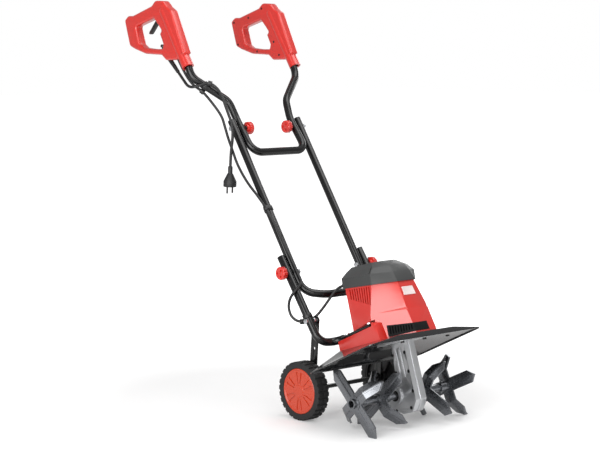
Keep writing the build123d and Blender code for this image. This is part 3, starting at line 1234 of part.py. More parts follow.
PLUG_PLANE = Plane(origin=lead_line @ 1, x_dir=(1, 0, 0), z_dir=-(lead_line % 1))
with BuildPart() as plug:
    for radius, low, high in ((6.5, -20, 0), (18.5, -57, -42)):
        with BuildSketch(PLUG_PLANE.offset(low)):
            Circle(radius)
        extrude(amount=high - low)
    with BuildSketch(PLUG_PLANE.offset(-20)):
        Circle(8)
    with BuildSketch(PLUG_PLANE.offset(-42)):
        Circle(18.5)
    loft()
    with BuildSketch(PLUG_PLANE.offset(-57)):
        with Locations((-9.5, 0), (9.5, 0)):
            Circle(2.4)
    extrude(amount=-19)
finish(plug.part, "plug")

CLIP_WALL, CLIP_WIDTH = 2.2, 12.0


def cable_clip(foot, tube_way, loops, band=TUBE_R):
    """A band on a tube with a loop for each cable; a loop is (middle, direction, bore)."""
    rings = [(foot, tube_way, band), *loops]
    for middle, way, bore in rings:
        with BuildSketch(Plane(origin=middle - way * CLIP_WIDTH / 2, z_dir=way)) as ring:
            Circle(bore + CLIP_WALL)
        extrude(ring.sketch, amount=CLIP_WIDTH)
    for middle, way, bore in loops:
        with BuildSketch(Plane(origin=foot, z_dir=middle - foot)) as arm:
            Circle(3.5)
        extrude(arm.sketch, amount=(middle - foot).length)
    for middle, way, bore in rings:
        with BuildSketch(Plane(origin=middle - way * CLIP_WIDTH, z_dir=way)) as hole:
            Circle(bore)
        extrude(hole.sketch, amount=2 * CLIP_WIDTH, mode=Mode.SUBTRACT)


CLIP_PLAY = 1.2                               # air round a cable in its loop
with BuildPart() as upper_cable_clip:
    cable_clip(spot(-165, 620.2, 893.5), Vector(0.713, -0.441, -0.545).normalized(),
               [(upper_line @ 0.51, upper_line % 0.51, CABLE_R + CLIP_PLAY),
                (lead_line @ 0.33, lead_line % 0.33, LEAD_R + CLIP_PLAY)], TUBE_R + 0.2)
finish(upper_cable_clip.part, "upper_cable_clip")

with BuildPart() as middle_cable_clip:
    cable_clip(spot(-MID_BAR_X, *LOWER_PIVOT) + BAR_DIRECTION * 196, BAR_DIRECTION,
               [(middle_line @ 0.565, middle_line % 0.565, CABLE_R + CLIP_PLAY)])
finish(middle_cable_clip.part, "middle_cable_clip")

with BuildPart() as lower_cable_clip:
    cable_clip(spot(-LOWER_BAR_X, *STRUT_TOP) + LOWER_RISE * 14, LOWER_RISE,
               [(lower_line @ 0.5, lower_line % 0.5, CABLE_R + CLIP_PLAY)])
finish(lower_cable_clip.part, "lower_cable_clip")
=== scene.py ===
import json
from math import atan2, cos, degrees, pi, radians, sin, tan

import bpy
import bmesh
from mathutils import Matrix, Vector


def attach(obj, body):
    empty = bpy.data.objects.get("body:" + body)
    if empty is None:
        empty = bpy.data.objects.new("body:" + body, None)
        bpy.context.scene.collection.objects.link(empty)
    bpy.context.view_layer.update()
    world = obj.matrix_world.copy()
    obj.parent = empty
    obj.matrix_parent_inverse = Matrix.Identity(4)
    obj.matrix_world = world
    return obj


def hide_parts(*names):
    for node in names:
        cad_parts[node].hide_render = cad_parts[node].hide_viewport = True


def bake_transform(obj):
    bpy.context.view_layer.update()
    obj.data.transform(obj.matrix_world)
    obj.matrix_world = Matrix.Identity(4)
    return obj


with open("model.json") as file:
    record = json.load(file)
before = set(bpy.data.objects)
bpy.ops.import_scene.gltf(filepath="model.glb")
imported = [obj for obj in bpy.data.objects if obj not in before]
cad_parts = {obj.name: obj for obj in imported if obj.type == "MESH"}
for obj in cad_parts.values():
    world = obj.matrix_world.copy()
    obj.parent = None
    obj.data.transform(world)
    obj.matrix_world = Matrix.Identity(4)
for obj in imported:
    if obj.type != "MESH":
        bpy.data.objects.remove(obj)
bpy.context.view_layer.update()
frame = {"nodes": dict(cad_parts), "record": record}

bl_info = {
    "name": "Garden Tiller",
    "version": (1, 0, 0),
    "blender": (4, 5, 0),
    "location": "View3D > Sidebar > Tiller",
    "description": "Finishes and detail pieces of an electric garden tiller",
    "category": "Object",
}

MM = 0.001
TINE_Y = -413.6            # tine shaft, along Y, in millimetres
SIDES = ((-1, "left"), (1, "right"))
SHAFT_END, SHAFT_UP = 186.0, 80.0      # half the tine shaft's length, and its height
UNIT_LEAN = 18.0           # backward lean of the motor unit, degrees


def linear(hex_colour):
    """An sRGB hex colour as linear red, green and blue."""
    channels = [int(hex_colour[i:i + 2], 16) / 255 for i in (1, 3, 5)]
    return tuple(c / 12.92 if c <= 0.04045 else ((c + 0.055) / 1.055) ** 2.4 for c in channels)


def spot(x, back, up):
    """A point in metres, from millimetres across, behind the tine shaft and above the ground."""
    return Vector((x, TINE_Y + back, up)) * MM


def colour_prop(name, description, hex_colour):
    """A colour that the user can change, given as sRGB hex."""
    return bpy.props.FloatVectorProperty(name=name, description=description, subtype="COLOR", size=3,
                                         min=0.0, max=1.0, default=linear(hex_colour))


def length_prop(name, description, millimetres):
    """A length that the user can change, given in millimetres."""
    return bpy.props.FloatProperty(name=name, description=description, unit="LENGTH", min=0.0,
                                   default=millimetres * MM)


class TillerLooks(bpy.types.PropertyGroup):
    """Sizes and colours that a user would change."""
    red: colour_prop("Red", "Moulded red plastic of hood, grips and knobs", "#CE2114")
    cap: colour_prop("Caps", "Moulded hub caps of the wheels", "#BE3610")
    charcoal: colour_prop("Charcoal", "Moulded plastic of the motor's lid", "#383939")
    black: colour_prop("Black", "Moulded black plastic", "#0A0A0B")
    coat: colour_prop("Tube coat", "Powder coat of the handlebar tubes", "#09090A")
    enamel: colour_prop("Deck enamel", "Gloss enamel of the deck", "#141416")
    tine: colour_prop("Tine plating", "Black plating of the tines", "#7E8084")
    alloy: colour_prop("Cast alloy", "Die-cast gear case", "#D0D1D3")
    zinc: colour_prop("Zinc", "Plated bolts", "#C9CBCE")
    rubber: colour_prop("Rubber", "Cable jackets and sleeves", "#161617")
    tread: colour_prop("Tyre", "Solid rubber tyres", "#131314")
    lead_thick: length_prop("Lead", "Diameter of the mains lead", 8.0)
    cable_thick: length_prop("Motor cable", "Diameter of the motor cable", 7.5)


# ---- materials -------------------------------------------------------------------
def add_node(tree, kind, links=(), **settings):
    """Add a node; links pairs an input with a value or another node's output."""
    node = tree.nodes.new(kind)
    for key, value in settings.items():
        setattr(node, key, value)
    for key, value in links:
        if isinstance(value, bpy.types.NodeSocket):
            tree.links.new(value, node.inputs[key])
        else:
            node.inputs[key].default_value = value
    return node


def surface(name, colour, roughness, metallic=0.0, grain=1.0, depth=0.05, shift=0.25, spread=0.08,
            coat=0.0, haze=0.08, smudge=45.0, stretch=(1.0, 1.0, 1.0), ior=None):
    """A procedural finish. grain is the size of its fine bumps and depth their height, in millimetres;
    shift is how far the colour wanders over patches of smudge millimetres; haze is its coat's roughness."""
    material = bpy.data.materials.new(name)
    material.use_nodes = True
    tree = material.node_tree
    tree.nodes.clear()
    place = add_node(tree, "ShaderNodeTexCoord").outputs["Object"]
    turned = add_node(tree, "ShaderNodeMapping", [("Vector", place), ("Scale", stretch)]).outputs["Vector"]
    patches = add_node(tree, "ShaderNodeTexNoise", [("Vector", place), ("Scale", 1000 / smudge),
                                                    ("Detail", 4.0), ("Roughness", 0.6)])
    fine = add_node(tree, "ShaderNodeTexNoise", [("Vector", turned), ("Scale", 1000 / grain),
                                                 ("Detail", 3.0), ("Roughness", 0.55)])
    darker = tuple(c * (1 - shift) for c in colour) + (1.0,)
    lighter = tuple(min(1.0, c * (1 + shift * 0.5)) for c in colour) + (1.0,)
    # the Mix node's colour sockets, 6 and 7, share names with its number sockets
    tint = add_node(tree, "ShaderNodeMix", [("Factor", patches.outputs["Fac"]), (6, darker), (7, lighter)],
                    data_type="RGBA")
    rough = add_node(tree, "ShaderNodeMapRange", [("Value", fine.outputs["Fac"]),
                                                  ("From Min", 0.25), ("From Max", 0.75),
                                                  ("To Min", max(0.02, roughness - spread)),
                                                  ("To Max", min(1.0, roughness + spread))])
    bump = add_node(tree, "ShaderNodeBump", [("Height", fine.outputs["Fac"]), ("Distance", depth * MM),
                                             ("Strength", 0.6)])
    shader = add_node(tree, "ShaderNodeBsdfPrincipled",
                      [("Base Color", tint.outputs[2]), ("Roughness", rough.outputs["Result"]),
                       ("Metallic", metallic), ("Normal", bump.outputs["Normal"]),
                       ("Coat Weight", coat), ("Coat Roughness", haze)])
    if ior and not metallic:
        shader.inputs["IOR"].default_value = ior
    add_node(tree, "ShaderNodeOutputMaterial", [("Surface", shader.outputs["BSDF"])])
    return material


FINISHES = {}


def make_finishes(looks):
    """Make every finish, each under the name that pieces ask for."""
    FINISHES.update(
        # injection-moulded ABS: even colour, satin gloss, faint flow ripple
        red=surface("moulded_red_abs", looks.red, 0.32, grain=2.2, depth=0.015, shift=0.06, spread=0.04,
                    coat=0.8, haze=0.3, ior=1.56),
        # the wheels' caps come from another mould, in a more orange red
        orange=surface("moulded_orange_abs", looks.cap, 0.28, grain=2.2, depth=0.015, shift=0.08,
                       spread=0.04, coat=0.25, ior=1.53),
        # glass-filled nylon lid: matt, fine spark-eroded grain
        charcoal=surface("grained_charcoal_nylon", looks.charcoal, 0.5, grain=0.9, depth=0.03, shift=0.12,
                         ior=1.53),
        # plain moulded nylon: satin black
        black=surface("moulded_black_nylon", looks.black, 0.42, grain=1.2, depth=0.02, shift=0.2, ior=1.53),
        # grille moulding with a coarse spark-eroded skin: matt, hardly any sheen
        dull=surface("matt_black_grille_nylon", looks.black, 0.7, grain=0.9, depth=0.04, shift=0.2, ior=1.3),
        # painted shade: a matt black sheet behind the intake slots, standing for the dark inside of the
        # hood; it swallows nearly all light
        foam=surface("black_filter_foam", looks.black, 1.0, grain=0.7, depth=0.1, shift=0.3, ior=1.05),
        # polyester powder coat on tube: orange peel and a clean gloss
        coat=surface("black_powder_coat", looks.coat, 0.24, grain=2.5, depth=0.008, shift=0.15, spread=0.05,
                     coat=0.15, ior=1.42),
        # stoved enamel on pressed steel: deep gloss, a slow ripple
        enamel=surface("black_stoved_enamel", looks.enamel, 0.2, grain=5.0, depth=0.03, shift=0.12,
                       spread=0.05, coat=0.6, smudge=90, ior=1.5),
        # bent steel blades under dark plating: grey where they face the light, nearly black elsewhere
        tine=surface("black_plated_tine_steel", looks.tine, 0.3, metallic=1.0, grain=4.0, depth=0.05,
                     shift=0.3, spread=0.08, coat=0.3, smudge=30),
        # pressure die-cast aluminium: soft satin metal with a cast skin
        alloy=surface("die_cast_aluminium", looks.alloy, 0.42, metallic=1.0, grain=1.4, depth=0.05,
                      shift=0.12),
        # bright zinc on bolts: small sharp glints
        zinc=surface("zinc_plated_steel", looks.zinc, 0.3, metallic=1.0, grain=0.8, depth=0.02, shift=0.1),
        # turned steel: fine rings round the X axis, drawn coarser than life so that they show
        steel=surface("turned_steel", linear("#8E9093"), 0.32, metallic=1.0, grain=0.6, depth=0.02,
                      shift=0.12, stretch=(8.0, 1.0, 1.0)),
        # hobbed bronze: warm metal with a faint machined grain
        bronze=surface("machined_bronze", linear("#A9793B"), 0.3, metallic=1.0, grain=0.6, depth=0.02,
                       shift=0.1),
        # chloroprene jacket: matt with a slight sheen
        rubber=surface("rubber_jacket", looks.rubber, 0.55, grain=1.0, depth=0.03, shift=0.2, ior=1.52),
        # solid rubber: dusty matt black
        tread=surface("solid_rubber_tyre", looks.tread, 0.68, grain=1.6, depth=0.08, shift=0.25, ior=1.52),
        # lacquered aluminium label without print: pale and smooth
        plate=surface("bare_name_plate", linear("#E9DAD8"), 0.35, grain=3.0, depth=0.01, shift=0.03,
                      spread=0.03, ior=1.5),
    )


SLOT_FINISH = {"red_plastic": "red", "grey_plastic": "charcoal", "black_plastic": "black",
               "black_paint": "coat", "tine_steel": "tine", "case_alloy": "alloy",
               "bright_steel": "zinc", "bronze": "bronze", "black_rubber": "rubber", "tyre": "tread"}
NODE_FINISH = {"deck": "enamel", "armature": "steel", "motor_stator": "steel", "motor_frame": "steel",
               "wheel_axle": "coat", "tine_pins": "steel", "bearings": "steel",
               "shaft_seals": "rubber", "case_bolts": "black", "lower_cable_clip": "black",
               "grip_screws": "black", "intake_grille": "dull"}


def body_of_node(node_name):
    """The body that holds a CAD node."""
    for body, nodes in frame["record"]["behaviour"]["bodies"].items():
        if node_name in nodes:
            return body
    raise RuntimeError(f"no body holds {node_name}")


def slot_of_node(node_name):
    """The material slot of a CAD node."""
    return next(p["material_slot"] for p in frame["record"]["subparts"] if p["node"] == node_name)


def clear_selection():
    """Leave edit mode and select nothing."""
    if bpy.context.object and bpy.context.object.mode != "OBJECT":
        bpy.ops.object.mode_set(mode="OBJECT")
    bpy.ops.object.select_all(action="DESELECT")


def pick(*objects):
    """Select these objects only, the first one active."""
    clear_selection()
    for obj in objects:
        obj.select_set(True)
    bpy.context.view_layer.objects.active = objects[0]


def apply_place(obj):
    """Put an object's place, turn and size into its mesh."""
    pick(obj)
    bpy.ops.object.transform_apply(location=True, rotation=True, scale=True)


def add_modifier(obj, kind, **settings):
    """Add a modifier, set it and apply it."""
    pick(obj)
    modifier = obj.modifiers.new(kind.title(), kind)
    for key, value in settings.items():
        setattr(modifier, key, value)
    bpy.ops.object.modifier_apply(modifier=modifier.name)


def soften(obj, width, from_angle, smooth=None, segments=2):
    """Bevel the edges sharper than an angle, and shade smooth below another one."""
    add_modifier(obj, "BEVEL", width=width * MM, segments=segments, limit_method="ANGLE",
                 angle_limit=radians(from_angle))
    if smooth:
        pick(obj)
        bpy.ops.object.shade_smooth_by_angle(angle=radians(smooth))


def dress(obj, finish, body):
    """Give a piece its finish and make it ride on a body."""
    obj.data.materials.clear()
    obj.data.materials.append(FINISHES[finish])
    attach(obj, body)
    return obj


def refined_node(node_name, finish, edge=0.0, angle=30.0):
    """A merged copy of a CAD node with softened edges and smooth shading, which stands for the node."""
    source = frame["nodes"][node_name]
    pick(source)
    copy = source.copy()
    copy.data = source.data.copy()
    copy.name = f"{node_name}_finished"
    copy.parent = None
    for key in list(copy.keys()):
        del copy[key]
    bpy.context.scene.collection.objects.link(copy)
    copy.matrix_world = Matrix.Identity(4)
    pick(copy)
    bpy.ops.object.mode_set(mode="EDIT")
    bpy.ops.mesh.select_all(action="SELECT")
    bpy.ops.mesh.remove_doubles(threshold=0.00001)
    bpy.ops.mesh.tris_convert_to_quads(face_threshold=radians(1), shape_threshold=radians(60))
    bpy.ops.mesh.dissolve_limited(angle_limit=radians(0.5))
    bpy.ops.object.mode_set(mode="OBJECT")
    bpy.ops.mesh.customdata_custom_splitnormals_clear()
    if edge:
        soften(copy, edge, angle)
    pick(copy)
    bpy.ops.object.shade_smooth_by_angle(angle=radians(angle))
    dress(copy, finish, body_of_node(node_name))
    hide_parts(node_name)
    return copy


GLOSS_SHARE = 0.26         # how much of the white room a glossy surface mirrors


def seen_direct(tree):
    """1 where a ray comes from the camera or a clear material, less from gloss, and otherwise 0."""
    path = add_node(tree, "ShaderNodeLightPath")
    gloss = add_node(tree, "ShaderNodeMath", [(0, path.outputs["Is Glossy Ray"]), (1, GLOSS_SHARE)],
                     operation="MULTIPLY")
    straight = add_node(tree, "ShaderNodeMath", [(0, path.outputs["Is Camera Ray"]),
                                                 (1, path.outputs["Is Transmission Ray"])],
                        operation="MAXIMUM")
    return add_node(tree, "ShaderNodeMath", [(0, gloss.outputs["Value"]),
                                             (1, straight.outputs["Value"])],
                    operation="MAXIMUM").outputs["Value"]


# the camera: lens in millimetres, place in metres, and its dip and turn in degrees
CAMERA_LENS, CAMERA_PLACE, CAMERA_DIP, CAMERA_TURN = 102.1, (-3.2063, -3.5427, 0.9882), 5.79, 42.22
# name, place, side and power of each studio lamp
LAMPS = (("left_softbox", (-3.05, -1.3, 1.3), 2.6, 104.0), ("top_softbox", (0.3, -1.0, 3.6), 2.6, 70.0),
         ("front_key", (-2.6, -4.6, 2.0), 1.2, 34.0), ("right_fill", (3.2, 1.2, 1.9), 2.0, 38.0))


# ---- operators --------------------------------------------------------------------
class TILLER_OT_stage(bpy.types.Operator):
    """Make the camera, lamps, floor and backdrop"""
    bl_idname = "tiller.stage"
    bl_label = "Stage"

    def execute(self, context):
        camera_data = bpy.data.cameras.new("camera")
        camera_data.lens, camera_data.sensor_width = CAMERA_LENS, 36.0
        camera_data.sensor_fit = "HORIZONTAL"
        camera_data.clip_end = 50.0
        camera = bpy.data.objects.new("camera", camera_data)
        context.scene.collection.objects.link(camera)
        camera.location = CAMERA_PLACE
        camera.rotation_euler = (radians(90 - CAMERA_DIP), 0, radians(-CAMERA_TURN))
        context.scene.camera = camera
        context.scene.view_settings.view_transform = "Standard"

        clear_selection()
        bpy.ops.mesh.primitive_plane_add(size=60, location=(0, 0, 0))
        floor = context.object
        floor.name = "floor"
        paper = bpy.data.materials.new("floor_glow_with_painted_shade")
        paper.use_nodes = True
        tree = paper.node_tree
        tree.nodes.clear()
        direct = seen_direct(tree)
        matt = add_node(tree, "ShaderNodeBsdfDiffuse", [("Color", (0.8, 0.8, 0.8, 1))])
        # painted shade: the floor's glow is low near the machine, leaving a grey ring round it, and
        # brightens away from it, so it runs into the white backdrop
        place = add_node(tree, "ShaderNodeTexCoord").outputs["Object"]
        far = add_node(tree, "ShaderNodeVectorMath", [(0, place)], operation="LENGTH").outputs["Value"]
        painted_shade_ramp = add_node(tree, "ShaderNodeMapRange", [("Value", far), ("From Min", 0.5), ("From Max", 1.7),
                                                     ("To Min", 0.2), ("To Max", 0.98)])
        seen = add_node(tree, "ShaderNodeMath", [(0, painted_shade_ramp.outputs["Result"]), (1, direct)],
                        operation="MULTIPLY")
        glow = add_node(tree, "ShaderNodeEmission", [("Color", (1, 1, 1, 1)),
                                                     ("Strength", seen.outputs["Value"])])
        both = add_node(tree, "ShaderNodeAddShader", [(0, matt.outputs[0]), (1, glow.outputs[0])])
        add_node(tree, "ShaderNodeOutputMaterial", [("Surface", both.outputs[0])])
        floor.data.materials.append(paper)

        world = bpy.data.worlds.new("studio")
        context.scene.world = world
        world.use_nodes = True
        tree = world.node_tree
        tree.nodes.clear()
        soft = add_node(tree, "ShaderNodeBackground", [("Color", (1, 1, 1, 1)), ("Strength", 0.25)])
        white = add_node(tree, "ShaderNodeBackground", [("Color", (1, 1, 1, 1)), ("Strength", 1.0)])
        blend = add_node(tree, "ShaderNodeMixShader", [("Fac", seen_direct(tree)), (1, soft.outputs[0]),
                                                       (2, white.outputs[0])])
        add_node(tree, "ShaderNodeOutputWorld", [("Surface", blend.outputs[0])])

        aim = Vector((0, -0.15, 0.45))        # about the middle of the machine
        for name, place, size, power in LAMPS:
            lamp_data = bpy.data.lights.new(name, "AREA")
            lamp_data.shape, lamp_data.size, lamp_data.energy = "SQUARE", size, power
            lamp = bpy.data.objects.new(name, lamp_data)
            context.scene.collection.objects.link(lamp)
            lamp.location = place
            lamp.rotation_euler = (aim - lamp.location).to_track_quat("-Z", "Y").to_euler()
        return {"FINISHED"}


def smooth_cord(name, points, thick):
    """A round cord whose line is a smooth spline through given control points."""
    curve = bpy.data.curves.new(name, "CURVE")
    curve.dimensions = "3D"
    curve.bevel_depth, curve.bevel_resolution, curve.resolution_u = thick / 2, 5, 12
    curve.use_fill_caps = True
    spline = curve.splines.new("NURBS")
    spline.points.add(len(points) - 1)
    for point, place in zip(spline.points, points):
        point.co = (*place, 1.0)
    spline.order_u, spline.use_endpoint_u = 3, True
    obj = bpy.data.objects.new(name, curve)
    bpy.context.scene.collection.objects.link(obj)
    return obj


# the lead hangs from the strain relief below the left grip
RELIEF_TOP = spot(-203, 728, 964)
RELIEF_WAY = Vector((0, -0.727, -0.687)).normalized()
LEAD_START = RELIEF_TOP + RELIEF_WAY * 45 * MM
LEAD_POINTS = [LEAD_START, RELIEF_TOP + RELIEF_WAY * 77 * MM, spot(-206, 643, 889), spot(-192, 615, 895),
               spot(-166, 604, 905), spot(-150, 584, 888), spot(-150, 562, 862), spot(-150, 545, 829),
               spot(-150, 519, 786), spot(-150, 519, 747), spot(-149, 529, 709), spot(-148, 532, 670)]
UPPER_CABLE_POINTS = [
    spot(-203, 697, 972.5), spot(-201, 674, 936), spot(-193, 645, 898), spot(-172.4, 625.3, 879.7),
    spot(-153, 609, 850), spot(-139.5, 579, 810.2), spot(-139.5, 566, 781), spot(-139.5, 550.6, 746.3),
    spot(-139.5, 531, 712), spot(-139.5, 511, 674), spot(-139.5, 468, 626), spot(-139.5, 420, 590),
    spot(-137.6, 390.6, 561.1)]
LOWER_CABLE_POINTS = [
    spot(-137.6, 390.6, 561.1), spot(-135, 345, 505), spot(-131, 308, 447), spot(-129, 264.2, 382.1),
    spot(-128.7, 257.5, 372.2), spot(-146, 244, 362), spot(-166, 247, 345), spot(-170, 260, 324),
    spot(-168, 266, 300), spot(-167, 255, 277), spot(-158, 236, 265), spot(-134, 224, 266),
    spot(-112, 216, 277), spot(-92, 208, 301), spot(-71, 203, 327), spot(-52, 195.9, 352.8),
    spot(-52, 167.4, 362.1)]


# name, line, the two bodies it joins, where it starts and ends to bend, and the nodes it stands for
CABLE_RUNS = (
    ("motor_cable_upper_run", UPPER_CABLE_POINTS, ("upper_handlebar", "middle_handlebar"),
     (spot(-139.5, 585, 820), spot(-139.5, 540, 728)), ("motor_cable_upper", "motor_cable_middle")),
    ("motor_cable_lower_run", LOWER_CABLE_POINTS, ("middle_handlebar", "motor_unit"),
     (spot(-131, 312, 452), spot(-160, 245, 352)), ("motor_cable_lower",)),
)


class TILLER_OT_cords(bpy.types.Operator):
    """Lay the mains lead and the motor cable"""
    bl_idname = "tiller.cords"
    bl_label = "Cords"

    def execute(self, context):
        looks = context.scene.tiller_looks
        lead = smooth_cord("mains_lead_cord", LEAD_POINTS, looks.lead_thick)
        dress(lead, "rubber", "upper_handlebar")
        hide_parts("mains_lead")
        for name, points, bodies, bend, nodes in CABLE_RUNS:
            cable = smooth_cord(name, points, looks.cable_thick)
            pick(cable)
            bpy.ops.object.convert(target="MESH")
            cable = context.object
            bpy.ops.object.shade_smooth()
            cable.data.materials.clear()
            cable.data.materials.append(FINISHES["rubber"])
            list(bodies)
            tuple(bend[0])
            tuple(bend[1])
            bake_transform(cable)
            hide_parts(*nodes)
        return {"FINISHED"}


# softened edge of each visible node, in millimetres
EDGES = {
    "top_cover": 1.2, "motor_base": 1.2, "intake_grille": 0.25, "deck": 1.0,
    "gear_case_left": 1.2, "gear_case_right": 1.2, "case_bolts": 0.4, "struts": 0.5, "wheel_axle": 0.5,
    "lower_bar_left": 0.6, "lower_bar_right": 0.6, "mid_bar": 0.5, "upper_bar": 0.5, "frame_bolts": 0.5,
    "lower_pivot_bolts": 0.4, "upper_pivot_bolts": 0.4, "lower_spacers": 0.4, "upper_spacers": 0.4,
    "tyre_left": 1.0, "tyre_right": 1.0, "wheel_rim_left": 0.8, "wheel_rim_right": 0.8,
    "inner_tines_left": 0.6, "inner_tines_right": 0.6,
    "outer_tines_left": 0.6, "outer_tines_right": 0.6, "tine_pins": 0.3,
    "grip_screws": 0.2, "trigger_lever": 1.0, "lock_button": 0.6, "strain_relief": 0.4, "plug": 0.6,
    "lower_knob_left": 1.0, "lower_knob_right": 1.0, "upper_knob_left": 1.0, "upper_knob_right": 1.0,
    "cable_gland": 0.5, "lower_cable_clip": 0.6, "middle_cable_clip": 0.6, "upper_cable_clip": 0.6,
}
# nodes that a piece modelled anew stands for
STOOD_FOR = ("mains_lead", "motor_cable_upper", "motor_cable_middle", "motor_cable_lower",
             "hub_cap_left", "hub_cap_right", "motor_hood", "left_grip_outer", "left_grip_inner",
             "right_grip_outer", "right_grip_inner", "tine_shaft")


def finish_of_node(node_name):
    """The finish of a CAD node, by its own name or by its slot."""
    return NODE_FINISH.get(node_name, SLOT_FINISH[slot_of_node(node_name)])


def edit(obj):
    """Open a mesh in edit mode with nothing selected."""
    pick(obj)
    bpy.ops.object.mode_set(mode="EDIT")
    bpy.ops.mesh.select_mode(type="FACE")
    bpy.ops.mesh.select_all(action="DESELECT")


def select_faces(obj, test):
    """Select the faces whose middle and normal pass a test."""
    mesh = bmesh.from_edit_mesh(obj.data)
    for face in mesh.faces:
        face.select_set(test(face.calc_center_median(), face.normal))
    mesh.select_flush(True)
    bmesh.update_edit_mesh(obj.data)


def lay_vertices(obj, place):
    """Move every vertex of a mesh in edit mode to where place puts it, and select all."""
    mesh = bmesh.from_edit_mesh(obj.data)
    for vertex in mesh.verts:
        vertex.co = place(vertex.co)
    bmesh.update_edit_mesh(obj.data)
    bpy.ops.mesh.select_all(action="SELECT")


def done_editing(obj, smooth=30.0):
    """Point the faces outwards, leave edit mode and smooth the shallow edges."""
    bpy.ops.mesh.select_all(action="SELECT")
    bpy.ops.mesh.remove_doubles(threshold=0.000005)
    bpy.ops.mesh.normals_make_consistent(inside=False)
    bpy.ops.object.mode_set(mode="OBJECT")
    apply_place(obj)
    pick(obj)
    bpy.ops.object.shade_smooth_by_angle(angle=radians(smooth))


def grow(amount):
    """Extrude the selected faces along their shared direction, given in metres."""
    bpy.ops.mesh.extrude_region_move(TRANSFORM_OT_translate={"value": amount})


def unit_spot(x, back, up):
    """A point given across, back and up along the leaning motor unit, in millimetres."""
    lean = radians(UNIT_LEAN)
    return spot(x, back * cos(lean) + up * sin(lean), SHAFT_UP - back * sin(lean) + up * cos(lean))


WHEEL_AXLE = (217.0, 80.0)       # behind the tine shaft, above the ground
WHEEL_OUTSIDE = 175.0            # outer face of a tyre
CAP_R = 61.5
# the cap's rings from the rim inwards: each one's width, and its rise outwards
CAP_RINGS = ((1.2, 1.0), (3.2, 0.0), (1.6, -1.6), (3.0, 0.0), (33.0, 1.1), (3.0, 0.0), (1.0, 1.2))
GROOVE_FROM, GROOVE_TO, GROOVE_DEEP = 20, 51, 2.4


class TILLER_OT_hub_caps(bpy.types.Operator):
    """Model the dished hub caps with their pairs of radiating grooves"""
    bl_idname = "tiller.hub_caps"
    bl_label = "Hub Caps"

    def execute(self, context):
        for way, side in SIDES:
            clear_selection()
            bpy.ops.mesh.primitive_circle_add(vertices=144, radius=CAP_R * MM, fill_type="NGON",
                                              location=spot(way * (WHEEL_OUTSIDE - 6), *WHEEL_AXLE),
                                              rotation=(0, way * pi / 2, 0))
            cap = context.object
            cap.name = f"dished_cap_{side}"
            apply_place(cap)
            centre = spot(0, *WHEEL_AXLE)
            edit(cap)
            bpy.ops.mesh.select_all(action="SELECT")
            out = Vector((way * MM, 0, 0))
            grow(out * 4.6)
            for inset, rise in CAP_RINGS:
                bpy.ops.mesh.inset(thickness=inset * MM, depth=0)
                bpy.ops.transform.translate(value=out * rise)

            def in_groove(middle, normal):
                """Six pairs of narrow wedges across the dish."""
                side_on = middle - centre
                radius = Vector((side_on.y, side_on.z)).length / MM
                turn = degrees(atan2(side_on.z, side_on.y)) % 60
                return GROOVE_FROM < radius < GROOVE_TO and (16 < turn < 23.5 or 36 < turn < 43.5)

            select_faces(cap, in_groove)
            bpy.ops.mesh.inset(thickness=0.6 * MM, depth=0)
            grow(out * -GROOVE_DEEP)
            done_editing(cap, 24)
            soften(cap, 0.35, 28)
            dress(cap, "orange", f"{side}_wheel")
            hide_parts(f"hub_cap_{side}")
        return {"FINISHED"}


class TILLER_OT_name_plate(bpy.types.Operator):
    """Model the bare name plate on the hood's front"""
    bl_idname = "tiller.name_plate"
    bl_label = "Name Plate"

    def execute(self, context):
        corners = hood_front_corners()
        clear_selection()
        bpy.ops.mesh.primitive_plane_add(size=1)
        plate = context.object
        plate.name = "name_plate"
        edit(plate)
        lay_vertices(plate, lambda co: corners(0.10 + 0.62 * (co.x + 0.5), 0.70 + 0.17 * (co.y + 0.5)))
        bpy.ops.mesh.normals_make_consistent(inside=False)
        front = Vector((0, -0.95, 0.2)).normalized()
        grow(front * 1.4 * MM)
        bpy.ops.mesh.inset(thickness=1.6 * MM, depth=0)
        bpy.ops.transform.translate(value=front * -0.5 * MM)
        done_editing(plate, 20)
        soften(plate, 0.3, 30)
        dress(plate, "plate", "motor_unit")
        return {"FINISHED"}


def hood_front_corners():
    """A point on the hood's front facet, from its share across and up."""
    foot = [unit_spot(-38, -141, 151), unit_spot(38, -141, 151)]
    crease = [unit_spot(-39, -125, 217), unit_spot(39, -125, 217)]
    top = [unit_spot(-30, -106, 291.6), unit_spot(30, -106, 291.6)]

    def place(across, up):
        low, high, share = (foot, crease, up / 0.45) if up < 0.45 else (crease, top, (up - 0.45) / 0.55)
        left, right = (low[i].lerp(high[i], share) for i in (0, 1))
        return left.lerp(right, across)
    return place


def rounded_corners(corners, steps=6):
    """A closed outline from (back, up, radius) corners, in millimetres."""
    outline = []
    for i, (back, up, radius) in enumerate(corners):
        here = Vector((back, up))
        before = Vector(corners[i - 1][:2]) - here
        after = Vector(corners[(i + 1) % len(corners)][:2]) - here
        half_turn = (pi - before.angle(after)) / 2
        reach = min(radius * tan(half_turn), 0.45 * min(before.length, after.length))
        start, end = here + before.normalized() * reach, here + after.normalized() * reach
        for step in range(steps + 1):
            t = step / steps
            outline.append(start.lerp(here, t).lerp(here.lerp(end, t), t))
    return outline


